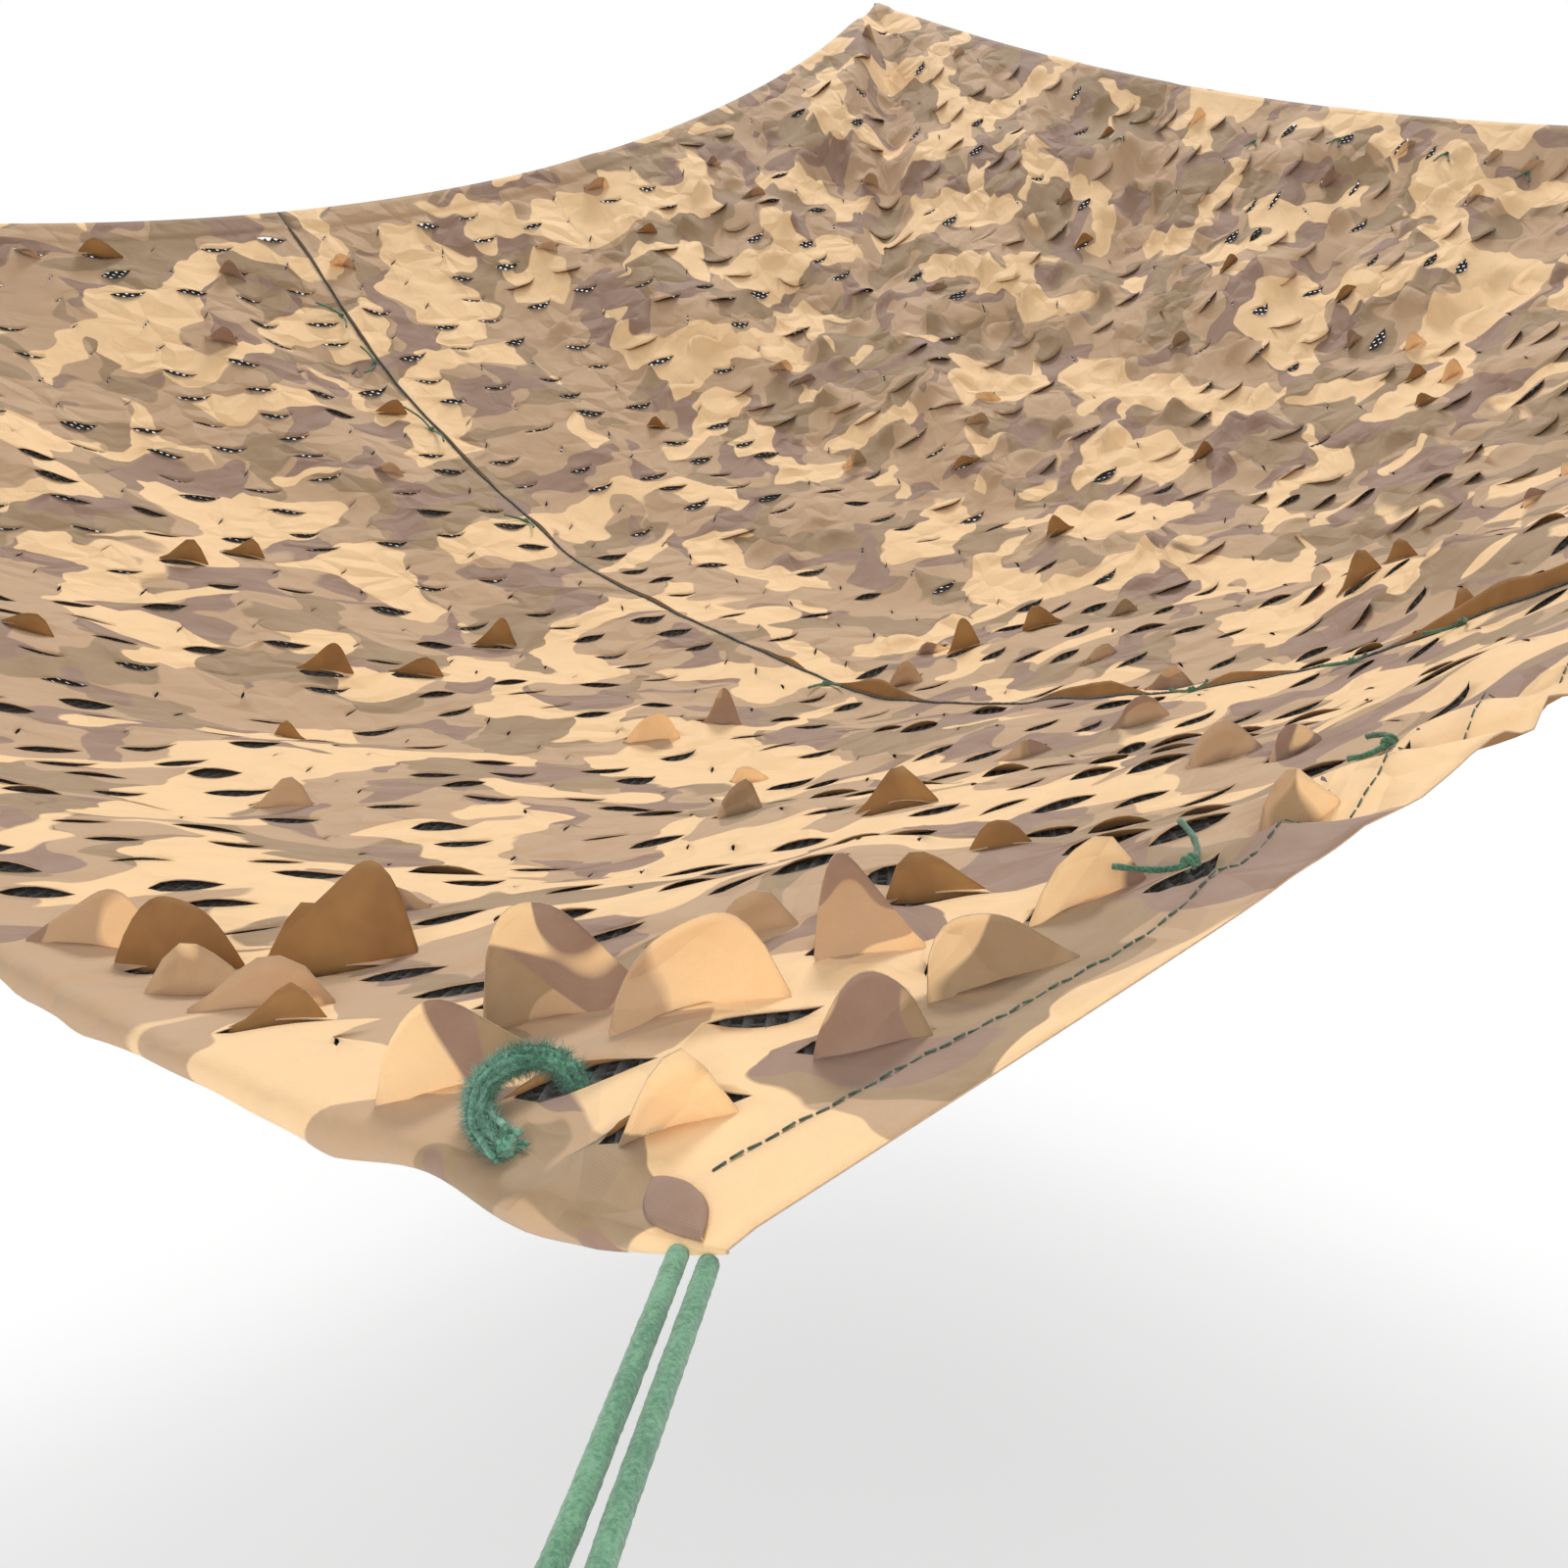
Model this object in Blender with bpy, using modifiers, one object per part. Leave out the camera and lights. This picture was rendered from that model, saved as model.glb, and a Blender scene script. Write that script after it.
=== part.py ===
"""Leaf-cut shade netting, 3 m square, hung by a cord loop at each corner.

Axes: X runs along the near right hem, Y along the rolled left hem, Z is up.
The origin is the far, high corner of the cloth, where its loop holds it.
Flat places are measured on the cloth before it is hung, from its near corner:
x along the right hem, y along the left hem, and lift off its upper face.
"""
import math
from collections import namedtuple

import bmesh
import bpy
from mathutils import Vector
from mathutils.bvhtree import BVHTree

# Driving sizes of the cloth, in metres
NET_SIDE = 3.0
HEM_WIDTH = 0.045
ROLL_RADIUS = 0.010
ROLL_AT_END = 0.30
ROLL_EASE = 0.12
CLOTH = 0.0012
HEM_LAYERS = 2
SEAM_AT = 1.190
GAP = 0.0003

# Corners of the hung cloth, measured from the far one
FAR_CORNER = Vector((0.0, 0.0, 0.0))
NEAR_CORNER = Vector((-2.852, -2.748, -1.171))
RIGHT_CORNER = Vector((-0.042, -2.748, -0.545))
LEFT_CORNER = Vector((-2.852, 0.031, -0.641))

# How far each edge sags under its own weight, and bows towards the middle
Edge = namedtuple("Edge", "start end sag bow inward")
TO_LEFT = Vector((-1.0, 0.0, 0.0))
TO_RIGHT = Vector((1.0, 0.0, 0.0))
TO_FAR = Vector((0.0, 1.0, 0.0))
TO_NEAR = Vector((0.0, -1.0, 0.0))
NEAR_RIGHT = Edge(NEAR_CORNER, RIGHT_CORNER, 0.035, -0.007, TO_FAR)
LEFT_FAR = Edge(LEFT_CORNER, FAR_CORNER, 0.247, 0.313, TO_NEAR)
NEAR_LEFT = Edge(NEAR_CORNER, LEFT_CORNER, 0.250, -0.006, TO_RIGHT)
RIGHT_FAR = Edge(RIGHT_CORNER, FAR_CORNER, 0.135, -0.028, TO_LEFT)
BELLY_SAG = 0.265

# Leaf cuts: cells of the cloth, and the slits that gape open in them
NEAR_CELLS = 12
FAR_CELLS = 18
ROW_CELLS = 30
SLIT_LENGTH = 0.058
SLIT_OPENING = 0.026
SLIT_ANGLE = math.radians(150.0)
CUT_INSET = 0.012
SLIT_PLAY_X = 0.016
SLIT_PLAY_Y = 0.026
ROLL_STEPS = 6

# The seam: a cord between the panels, and the far panel's edge turned up
SEAM_CORD_RADIUS = 0.002
SEAM_HALF = 0.0027
FLANGE_LEAN = 0.006

# Long folds: a ridge or, with a minus, a trough from one flat place to another
Fold = namedtuple("Fold", "start end half_width height")
FOLDS = (
    Fold((2.98, 2.98), (2.06, 2.25), 0.060, -0.034),
    Fold((2.16, 2.34), (1.76, 1.62), 0.080, 0.036),
    Fold((2.92, 2.96), (2.18, 2.69), 0.070, 0.040),
    Fold((2.24, 2.72), (1.72, 2.38), 0.080, 0.034),
    Fold((2.98, 2.45), (2.20, 2.05), 0.070, 0.034),
    Fold((2.98, 2.10), (2.30, 1.80), 0.070, -0.030),
    Fold((2.98, 1.70), (2.25, 1.48), 0.080, 0.034),
    Fold((2.98, 1.15), (2.20, 1.05), 0.090, -0.028),
    Fold((2.98, 0.70), (2.30, 0.72), 0.090, 0.030),
    Fold((1.95, 2.98), (1.62, 2.25), 0.090, 0.030),
    Fold((0.95, 2.98), (1.02, 2.20), 0.090, 0.022),
    Fold((0.30, 2.90), (0.62, 2.15), 0.100, 0.024),
    Fold((0.08, 1.70), (0.80, 1.45), 0.100, -0.018),
    Fold((0.10, 0.10), (0.62, 0.50), 0.060, 0.014),
    Fold((1.40, 0.04), (1.62, 0.95), 0.090, 0.024),
    Fold((2.10, 0.04), (1.95, 0.80), 0.100, -0.024),
)
FOLD_TAPER = 0.6
RIPPLE = 0.006
RIPPLE_LENGTH = 0.42
CALM_EDGE = 0.15
SLOPE_STEP = 0.002

# Pleats bunched in the right hem, at x along it, each fading inwards
Pleat = namedtuple("Pleat", "x half_width height reach")
PLEATS = (
    Pleat(0.360, 0.022, 0.008, 0.07),
    Pleat(0.415, 0.022, 0.013, 0.08),
    Pleat(0.460, 0.020, -0.010, 0.07),
    Pleat(0.515, 0.022, 0.015, 0.09),
    Pleat(0.562, 0.020, -0.012, 0.08),
    Pleat(0.610, 0.022, 0.015, 0.09),
    Pleat(0.665, 0.024, -0.010, 0.08),
    Pleat(0.725, 0.026, 0.009, 0.07),
)
PLEAT_CREST = 0.045
PLEAT_FROM = 0.32
PLEAT_TO = 0.82
PLEAT_CUTS = 3

# Height of the seam's turned-up edge at flat places along it
Rise = namedtuple("Rise", "y height")
SEAM_RISE = (
    Rise(0.00, 0.006),
    Rise(0.33, 0.020),
    Rise(0.60, 0.012),
    Rise(0.80, 0.018),
    Rise(1.25, 0.016),
    Rise(1.45, 0.006),
    Rise(3.00, 0.005),
)

# Slits set by the photo. A leaf stands up from each, hinged at the slit's far
# or near side, but for one of no height, which the near tie goes down through
Leaf = namedtuple("Leaf", "x y height hinge")
FAR_SIDE = 1
NEAR_SIDE = -1
LEAVES = (
    Leaf(0.149, 0.490, 0.070, FAR_SIDE),
    Leaf(0.109, 0.558, 0.050, FAR_SIDE),
    Leaf(0.093, 0.665, 0.042, FAR_SIDE),
    Leaf(0.160, 0.275, 0.066, NEAR_SIDE),
    Leaf(0.185, 0.175, 0.056, NEAR_SIDE),
    Leaf(0.265, 0.110, 0.050, NEAR_SIDE),
    Leaf(0.165, 0.080, 0.040, NEAR_SIDE),
    Leaf(0.105, 0.162, 0.000, FAR_SIDE),
    Leaf(0.405, 1.108, 0.034, NEAR_SIDE),
    Leaf(0.617, 2.034, 0.036, FAR_SIDE),
    Leaf(0.740, 2.078, 0.034, FAR_SIDE),
    Leaf(0.680, 1.668, 0.040, FAR_SIDE),
    Leaf(0.783, 1.639, 0.038, FAR_SIDE),
    Leaf(0.930, 1.731, 0.038, FAR_SIDE),
    Leaf(0.890, 1.261, 0.042, NEAR_SIDE),
    Leaf(0.990, 1.273, 0.042, NEAR_SIDE),
    Leaf(1.347, 1.240, 0.036, FAR_SIDE),
    Leaf(1.457, 1.208, 0.034, FAR_SIDE),
    Leaf(1.508, 0.703, 0.034, FAR_SIDE),
)

# A standing leaf's rows: share of its height, of its width, and how it leans
LEAF_ROWS = ((0.50, 0.95, -0.10), (0.90, 0.55, -0.22))
LEAF_CROWN = 0.25
LEAF_SHIFT = 0.3

# Cords
LOOP_RADIUS = 0.0035
LOOP_HALF_APART = 0.0050
LOOP_REACH = 0.160
LOOP_BEND = 0.019
LOOP_DROP = 0.0045
LOOP_STRAIGHT = (0.030, 0.070, 0.138)
LOOP_SPREAD = (0.0050, 0.0050, 0.0060)
LOOP_TURN = (132.0, 90.0, 45.0)
SEAT_FROM = 0.020
SEAT_STEP = 0.0001
NEAR_LOOP_SHIFT = Vector((0.0, 0.006, 0.0))
TIE_RADIUS = 0.0015
NEAR_TIE_RADIUS = 0.0040
TIE_CLEARANCE = 0.0004
KNOT_LIFT = 1.6
TAIL_BOW = 0.2
PROBE = 0.06
LAY_ROUNDS = 12
SET_ROUNDS = 4

# Points along a cord: how many radii apart, and the curve's fineness
LOOP_STEP = 3.6
TIE_STEP = 6.0
NEAR_TIE_STEP = 3.0
CURVE_STEPS = 12

# Seam and hem ties: the flat place of the knot, and where its two tails point
Tie = namedtuple("Tie", "name x y tail heading spread curl")
BESIDE_SEAM = 0.010
TIES = (
    Tie("seam_tie_1", SEAM_AT - BESIDE_SEAM, 2.735, 0.042, 200.0, 110.0, 0.012),
    Tie("seam_tie_2", SEAM_AT - BESIDE_SEAM, 2.610, 0.040, 160.0, 120.0, 0.010),
    Tie("seam_tie_3", SEAM_AT - BESIDE_SEAM, 2.41, 0.060, 185.0, 150.0, 0.016),
    Tie("seam_tie_4", SEAM_AT - BESIDE_SEAM, 2.10, 0.036, 210.0, 90.0, 0.010),
    Tie("seam_tie_5", SEAM_AT - BESIDE_SEAM, 1.33, 0.034, 230.0, 80.0, 0.008),
    Tie("seam_tie_6", SEAM_AT - BESIDE_SEAM, 0.70, 0.034, 215.0, 70.0, 0.010),
    Tie("seam_tie_7", SEAM_AT - BESIDE_SEAM, 0.50, 0.030, 190.0, 100.0, 0.008),
    Tie("seam_tie_8", SEAM_AT - BESIDE_SEAM, 0.38, 0.034, 170.0, 90.0, 0.010),
    Tie("edge_tie_1", 2.810, 2.10, 0.026, 200.0, 60.0, 0.006),
    Tie("edge_tie_2", 2.880, 1.78, 0.026, 190.0, 60.0, 0.006),
    Tie("edge_tie_3", 2.900, 1.58, 0.028, 175.0, 60.0, 0.006),
    Tie("edge_tie_4", 2.900, 1.34, 0.030, 185.0, 60.0, 0.008),
    Tie("edge_tie_5", 2.890, 1.17, 0.026, 180.0, 60.0, 0.006),
    Tie("hem_tie_1", 0.390, 0.075, 0.036, 80.0, 80.0, 0.014),
    Tie("hem_tie_2", 0.600, 0.095, 0.026, 100.0, 80.0, 0.008),
)

# The thick tie beside the near corner goes down through this slit
NEAR_TIE_ROUTE = (
    (0.050, 0.128, 0.006),
    (0.053, 0.150, 0.008),
    (0.066, 0.169, 0.012),
    (0.085, 0.173, 0.014),
    (0.099, 0.165, 0.008),
    (0.105, 0.162, -0.009),
    (0.107, 0.162, -0.028),
)

# Colours, as seen in the photo
SAND = (0.72, 0.50, 0.30, 1.0)
TAUPE = (0.46, 0.32, 0.22, 1.0)
CORD_GREEN = (0.10, 0.30, 0.17, 1.0)
DARK_GREEN = (0.015, 0.035, 0.022, 1.0)


def clear_scene():
    """Remove every object that the new file starts with."""
    for leftover in list(bpy.data.objects):
        bpy.data.objects.remove(leftover, do_unlink=True)


def finish(name, colour, roughness):
    """Return a Principled material of one colour."""
    material = bpy.data.materials.new(name)
    material.use_nodes = True
    shader = material.node_tree.nodes["Principled BSDF"]
    shader.inputs["Base Color"].default_value = colour
    shader.inputs["Roughness"].default_value = roughness
    shader.inputs["Metallic"].default_value = 0.0
    return material


def edge_point(edge, share):
    """Return the place at a share of the way along a sagging edge."""
    arch = 4.0 * share * (1.0 - share)
    place = edge.start.lerp(edge.end, share) + edge.inward * (edge.bow * arch)
    place.z -= edge.sag * arch
    return place


def sheet_point(u, v):
    """Return the hung sheet's place at shares u and v of its two sides."""
    along = (1 - v) * edge_point(NEAR_RIGHT, u) + v * edge_point(LEFT_FAR, u)
    across = (1 - u) * edge_point(NEAR_LEFT, v) + u * edge_point(RIGHT_FAR, v)
    corners = (1 - u) * (1 - v) * NEAR_CORNER + u * (1 - v) * RIGHT_CORNER
    corners += (1 - u) * v * LEFT_CORNER + u * v * FAR_CORNER
    place = along + across - corners
    place.z -= BELLY_SAG * 16.0 * u * (1 - u) * v * (1 - v)
    return place


def smooth_bell(distance, half_width):
    """Return 1 on a line, falling smoothly to nothing beside it."""
    return math.exp(-((distance / half_width) ** 2))


def fold_lift(x, y):
    """Return how far the long folds lift the cloth at a flat place."""
    total = 0.0
    for fold in FOLDS:
        start, end = Vector(fold.start), Vector(fold.end)
        span = end - start
        here = Vector((x, y)) - start
        share = here.dot(span) / span.length_squared
        beside = (here - span * share).length
        held = max(0.0, min(1.0, share))
        taper = math.sin(math.pi * held) ** FOLD_TAPER
        total += fold.height * taper * smooth_bell(beside, fold.half_width)
    edge = min(x, y, NET_SIDE - x, NET_SIDE - y)
    calm = max(0.0, min(1.0, edge / CALM_EDGE))
    wave = math.sin(math.tau * (x + 0.35 * y) / RIPPLE_LENGTH)
    wave += math.sin(math.tau * (0.8 * y - 0.5 * x) / (1.3 * RIPPLE_LENGTH))
    return total + RIPPLE * calm * wave


def pleat_lift(x, y):
    """Return how far the bunched pleats lift the right hem."""
    total = 0.0
    for pleat in PLEATS:
        fade = smooth_bell(y - PLEAT_CREST, pleat.reach)
        total += pleat.height * fade * smooth_bell(x - pleat.x, pleat.half_width)
    return total


def roll_radius(y):
    """Return the rolled hem's radius, pressed flatter at the near corner."""
    share = min(1.0, y / ROLL_EASE)
    return ROLL_RADIUS * (ROLL_AT_END + (1.0 - ROLL_AT_END) * math.sin(share * math.pi / 2))


def drape(x, y, lift=0.0):
    """Return the hung place of a flat place, lift metres off the upper face."""
    at = max(x, HEM_WIDTH)
    taken_up = HEM_WIDTH - ROLL_RADIUS
    u = (at - taken_up) / (NET_SIDE - taken_up)
    v = y / NET_SIDE
    place = sheet_point(u, v)
    slope_x = sheet_point(u + SLOPE_STEP, v) - sheet_point(u - SLOPE_STEP, v)
    slope_y = sheet_point(u, v + SLOPE_STEP) - sheet_point(u, v - SLOPE_STEP)
    normal = slope_x.cross(slope_y).normalized()
    place += normal * (fold_lift(at, y) + pleat_lift(at, y))
    if x >= HEM_WIDTH:
        return place + normal * lift
    turn = (HEM_WIDTH - x) / ROLL_RADIUS
    outward = -slope_x.normalized()
    rim = outward * math.sin(turn) + normal * math.cos(turn)
    radius = roll_radius(y)
    return place - normal * radius + rim * (radius + lift)


def even_steps(start, end, count):
    """Return count + 1 places evenly from start to end."""
    return [start + (end - start) * i / count for i in range(count + 1)]


def seam_rise(y):
    """Return the height of the seam's turned-up edge at y."""
    for low, high in zip(SEAM_RISE, SEAM_RISE[1:]):
        if y <= high.y:
            share = (y - low.y) / (high.y - low.y)
            return low.height + (high.height - low.height) * share
    return SEAM_RISE[-1].height


def slit_outline():
    """Return an open slit's six points about its middle, in turning order."""
    half = SLIT_LENGTH / 2
    lip = SLIT_OPENING / 2
    blunt = lip * 0.25
    along_and_across = (
        (0.0, lip),
        (half, blunt),
        (half, -blunt),
        (0.0, -lip),
        (-half, -blunt),
        (-half, blunt),
    )
    axis = Vector((math.cos(SLIT_ANGLE), math.sin(SLIT_ANGLE)))
    across = Vector((axis.y, -axis.x))
    return [axis * a + across * b for a, b in along_and_across]


def stand_leaf(bm, lips, middle, leaf):
    """Extrude a slit's lip into the leaf that stands up from it."""
    axis = Vector((math.cos(SLIT_ANGLE), math.sin(SLIT_ANGLE), 0.0))
    across = Vector((axis.y, -axis.x, 0.0))
    hinge = [v for v in lips if (v.co - middle).dot(across) * leaf.hinge > 0.0]
    inside = set(hinge)
    edges = {e for v in hinge for e in v.link_edges
             if e.is_boundary and e.verts[0] in inside and e.verts[1] in inside}
    for rise, width, lean in LEAF_ROWS:
        made = bmesh.ops.extrude_edge_only(bm, edges=list(edges))["geom"]
        edges = {g for g in made if isinstance(g, bmesh.types.BMEdge) and g.is_boundary
                 and all(v in made for v in g.verts)}
        for vertex in [g for g in made if isinstance(g, bmesh.types.BMVert)]:
            along = (vertex.co - middle).dot(axis)
            side = leaf.hinge * (SLIT_OPENING * LEAF_SHIFT + lean * leaf.height)
            crown = 1.0 - LEAF_CROWN * abs(along) / (SLIT_LENGTH / 2)
            flat = middle + axis * (along * width) + across * side
            vertex.co = Vector((flat.x, flat.y, rise * leaf.height * crown))


def cut_slits(bm, cells, placed):
    """Cut an open slit in each of these faces, moved and leafed where placed."""
    bmesh.ops.inset_individual(bm, faces=cells, thickness=CUT_INSET, depth=0.0)
    outline = slit_outline()
    for cell in cells:
        middle = cell.calc_center_median()
        leaf = placed.get(cell)
        sides = [e for e in cell.edges
                 if abs(e.verts[0].co.x - e.verts[1].co.x) < CUT_INSET / 2]
        bmesh.ops.bisect_edges(bm, edges=sides, cuts=1)
        ring = list(cell.verts)
        turn = {v: math.atan2(v.co.y - middle.y, v.co.x - middle.x) for v in ring}
        first = min(ring, key=lambda v: abs(turn[v] - math.radians(45.0)))
        ring.sort(key=lambda v: (turn[v] - turn[first]) % math.tau)
        if leaf:
            middle.x += max(-SLIT_PLAY_X, min(SLIT_PLAY_X, leaf.x - middle.x))
            middle.y += max(-SLIT_PLAY_Y, min(SLIT_PLAY_Y, leaf.y - middle.y))
        for vertex, place in zip(ring, outline):
            vertex.co.x = middle.x + place.x
            vertex.co.y = middle.y + place.y
        bmesh.ops.delete(bm, geom=[cell], context="FACES_ONLY")
        if leaf and leaf.height:
            stand_leaf(bm, ring, middle, leaf)


def ease_pleats(bm):
    """Cut the right hem finer where its pleats are bunched."""
    deep = HEM_WIDTH * 1.01
    edges = [e for e in bm.edges
             if max(v.co.y for v in e.verts) < deep
             and abs(e.verts[0].co.y - e.verts[1].co.y) < GAP
             and min(v.co.x for v in e.verts) > PLEAT_FROM
             and max(v.co.x for v in e.verts) < PLEAT_TO]
    bmesh.ops.subdivide_edges(bm, edges=edges, cuts=PLEAT_CUTS, use_grid_fill=True)


def in_flat_hem(place):
    """Return whether a flat place is in a folded hem, clear of roll and seam."""
    if place.x < HEM_WIDTH + GAP or abs(place.x - SEAM_AT) < HEM_WIDTH:
        return False
    rim = min(place.y, NET_SIDE - place.y, NET_SIDE - place.x)
    return rim < HEM_WIDTH + GAP


def cloth_panel(name, columns, rows, first_cell, cell_count, colour):
    """Build one width of cloth, hems and all, as a solid sheet."""
    bm = bmesh.new()
    bmesh.ops.create_grid(bm, x_segments=len(columns) - 1, y_segments=len(rows) - 1, size=1.0)
    for vertex in bm.verts:
        i = round((vertex.co.x + 1.0) / 2.0 * (len(columns) - 1))
        j = round((vertex.co.y + 1.0) / 2.0 * (len(rows) - 1))
        vertex.co = Vector((columns[i].x, rows[j], columns[i].lift(rows[j])))
    cells = []
    placed = {}
    for face in bm.faces:
        middle = face.calc_center_median()
        i = sum(1 for c in columns if c.x < middle.x) - 1 - first_cell
        j = sum(1 for y in rows if y < middle.y) - 2
        if not 0 <= i < cell_count or not 0 <= j < ROW_CELLS:
            continue
        half_x = (columns[-2].x - columns[-3].x) / 2
        half_y = (rows[2] - rows[1]) / 2
        for leaf in LEAVES:
            if abs(leaf.x - middle.x) < half_x and abs(leaf.y - middle.y) < half_y:
                placed[face] = leaf
        if face in placed or (j % 2 == 1 and (i + j // 2) % 2 == 0):
            cells.append(face)
    cut_slits(bm, cells, placed)
    ease_pleats(bm)
    bm.verts.index_update()
    hem_numbers = [v.index for v in bm.verts if in_flat_hem(v.co)]
    for vertex in bm.verts:
        vertex.co = drape(*vertex.co)
    bmesh.ops.triangulate(bm, faces=bm.faces, quad_method="BEAUTY", ngon_method="BEAUTY")
    mesh = bpy.data.meshes.new(name)
    bm.to_mesh(mesh)
    bm.free()
    panel = bpy.data.objects.new(name, mesh)
    thick = panel.vertex_groups.new(name="hem")
    thick.add(hem_numbers, 1.0, "REPLACE")
    sheet = panel.modifiers.new("Sheet thickness", "SOLIDIFY")
    sheet.thickness = CLOTH * HEM_LAYERS
    sheet.offset = -1.0
    sheet.vertex_group = "hem"
    sheet.thickness_vertex_group = 1.0 / HEM_LAYERS
    mesh.materials.append(finish(name + "_cloth", colour, 0.9))
    return panel


Column = namedtuple("Column", "x lift")


def level(y):
    """Return the lift of a column that lies in the sheet."""
    return 0.0


def row_places():
    """Return the flat y places of the rows, hem to hem."""
    inner = even_steps(HEM_WIDTH, NET_SIDE - HEM_WIDTH, ROW_CELLS)
    return [0.0] + inner + [NET_SIDE]


def near_panel():
    """Build the near width, with its rolled left hem."""
    roll = even_steps(0.0, HEM_WIDTH, ROLL_STEPS)
    cells = even_steps(HEM_WIDTH, SEAM_AT - SEAM_HALF, NEAR_CELLS)
    columns = [Column(x, level) for x in roll[:-1] + cells]
    return cloth_panel("near_panel", columns, row_places(), ROLL_STEPS, NEAR_CELLS, SAND)


def far_panel():
    """Build the far width, with its edge turned up at the seam."""
    bend = SEAM_AT + SEAM_HALF + CLOTH * 1.1
    cells = even_steps(bend, NET_SIDE - HEM_WIDTH, FAR_CELLS)
    columns = [Column(bend + FLANGE_LEAN, seam_rise)]
    columns += [Column(x, level) for x in cells + [NET_SIDE]]
    return cloth_panel("far_panel", columns, row_places(), 1, FAR_CELLS, TAUPE)


def smooth_route(points, spacing):
    """Return places about spacing apart on a smooth curve through points."""
    padded = [points[0] * 2 - points[1]] + list(points) + [points[-1] * 2 - points[-2]]
    fine = []
    for a, b, c, d in zip(padded, padded[1:], padded[2:], padded[3:]):
        for i in range(CURVE_STEPS):
            t = i / CURVE_STEPS
            fine.append(0.5 * (2 * b + (c - a) * t + (2 * a - 5 * b + 4 * c - d) * t * t
                               + (3 * b - a - 3 * c + d) * t ** 3))
    fine.append(points[-1].copy())
    lengths = [0.0]
    for one, two in zip(fine, fine[1:]):
        lengths.append(lengths[-1] + (two - one).length)
    count = max(4, round(lengths[-1] / spacing))
    route = []
    for k in range(count + 1):
        goal = lengths[-1] * k / count
        i = min(len(fine) - 2, sum(1 for s in lengths[1:] if s < goal))
        part = (goal - lengths[i]) / max(lengths[i + 1] - lengths[i], GAP)
        route.append(fine[i].lerp(fine[i + 1], part))
    return route


def cord_tube(name, route, radius, colour):
    """Return a round cord as a bevelled curve with filled ends."""
    curve = bpy.data.curves.new(name, "CURVE")
    curve.dimensions = "3D"
    curve.bevel_depth = radius
    curve.bevel_resolution = 2
    curve.use_fill_caps = True
    spline = curve.splines.new("POLY")
    spline.points.add(len(route) - 1)
    for point, place in zip(spline.points, route):
        point.co = (*place, 1.0)
    curve.materials.append(finish(name + "_cord", colour, 0.85))
    return bpy.data.objects.new(name, curve)


def shortfall(place, up, radius, cloth):
    """Return how far a cord's middle must rise to lie clear above the cloth."""
    hits = [tree.ray_cast(place + up * PROBE, -up, 2 * PROBE) for tree in cloth]
    heights = [(place - hit[0]).dot(up) for hit in hits if hit[0] is not None]
    needed = radius + TIE_CLEARANCE
    rise = max([needed - height for height in heights] + [0.0])
    nearest = min(tree.find_nearest(place)[3] for tree in cloth)
    return max(rise, needed - nearest if rise == 0.0 else 0.0)


def set_down(route, up, radius, cloth):
    """Lower a route until its nearest point only just clears the cloth."""
    nearest = min(tree.find_nearest(place)[3] for tree in cloth for place in route)
    spare = max(0.0, nearest - radius - TIE_CLEARANCE)
    return [place - up * spare for place in route]


def lay_on_cloth(route, up, radius, cloth):
    """Set a route down on the cloth, with every point and span clear of it."""
    route = set_down(route, up, radius, cloth)
    for _ in range(LAY_ROUNDS):
        worst = 0.0
        for i, place in enumerate(route):
            rise = shortfall(place, up, radius, cloth)
            route[i] = place + up * rise
            worst = max(worst, rise)
        for i in range(len(route) - 1):
            rise = shortfall((route[i] + route[i + 1]) / 2, up, radius, cloth)
            route[i] = route[i] + up * rise
            route[i + 1] = route[i + 1] + up * rise
            worst = max(worst, rise)
        if worst < GAP / 4:
            break
    return route


def seam_cord():
    """Build the dark cord that runs down the seam."""
    route = [drape(SEAM_AT, y, -CLOTH / 2) for y in row_places()]
    return cord_tube("seam_cord", route, SEAM_CORD_RADIUS, DARK_GREEN)


def tie_cord(tie, cloth):
    """Build one thin tie: a knot on the cloth and two short free tails."""
    ends = []
    for side in (-0.5, 0.5):
        heading = math.radians(tie.heading + side * tie.spread)
        reach = Vector((math.cos(heading), math.sin(heading)))
        bend = Vector((-reach.y, reach.x)) * (side * TAIL_BOW * tie.tail)
        middle = reach * (0.5 * tie.tail) + bend
        tip = reach * tie.tail
        ends.append(((tip.x, tip.y, tie.curl), (middle.x, middle.y, tie.curl * 0.5)))
    low = TIE_RADIUS * KNOT_LIFT
    flat = [ends[0][0], ends[0][1], (0.0, 0.0, low), ends[1][1], ends[1][0]]
    points = [drape(tie.x + x, tie.y + y, lift) for x, y, lift in flat]
    route = smooth_route(points, TIE_RADIUS * TIE_STEP)
    up = (drape(tie.x, tie.y, TIE_RADIUS) - drape(tie.x, tie.y)).normalized()
    route = lay_on_cloth(route, up, TIE_RADIUS, cloth)
    return cord_tube(tie.name, route, TIE_RADIUS, CORD_GREEN)


def near_tie(cloth):
    """Build the thick tie that goes down through a slit by the near corner."""
    points = [drape(*flat) for flat in NEAR_TIE_ROUTE]
    route = smooth_route(points, NEAR_TIE_RADIUS * NEAR_TIE_STEP)
    first = Vector(NEAR_TIE_ROUTE[0])
    up = (points[0] - drape(first.x, first.y)).normalized()
    for _ in range(SET_ROUNDS):
        route = set_down(route, up, NEAR_TIE_RADIUS, cloth)
    return cord_tube("near_tie", route, NEAR_TIE_RADIUS, CORD_GREEN)


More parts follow.
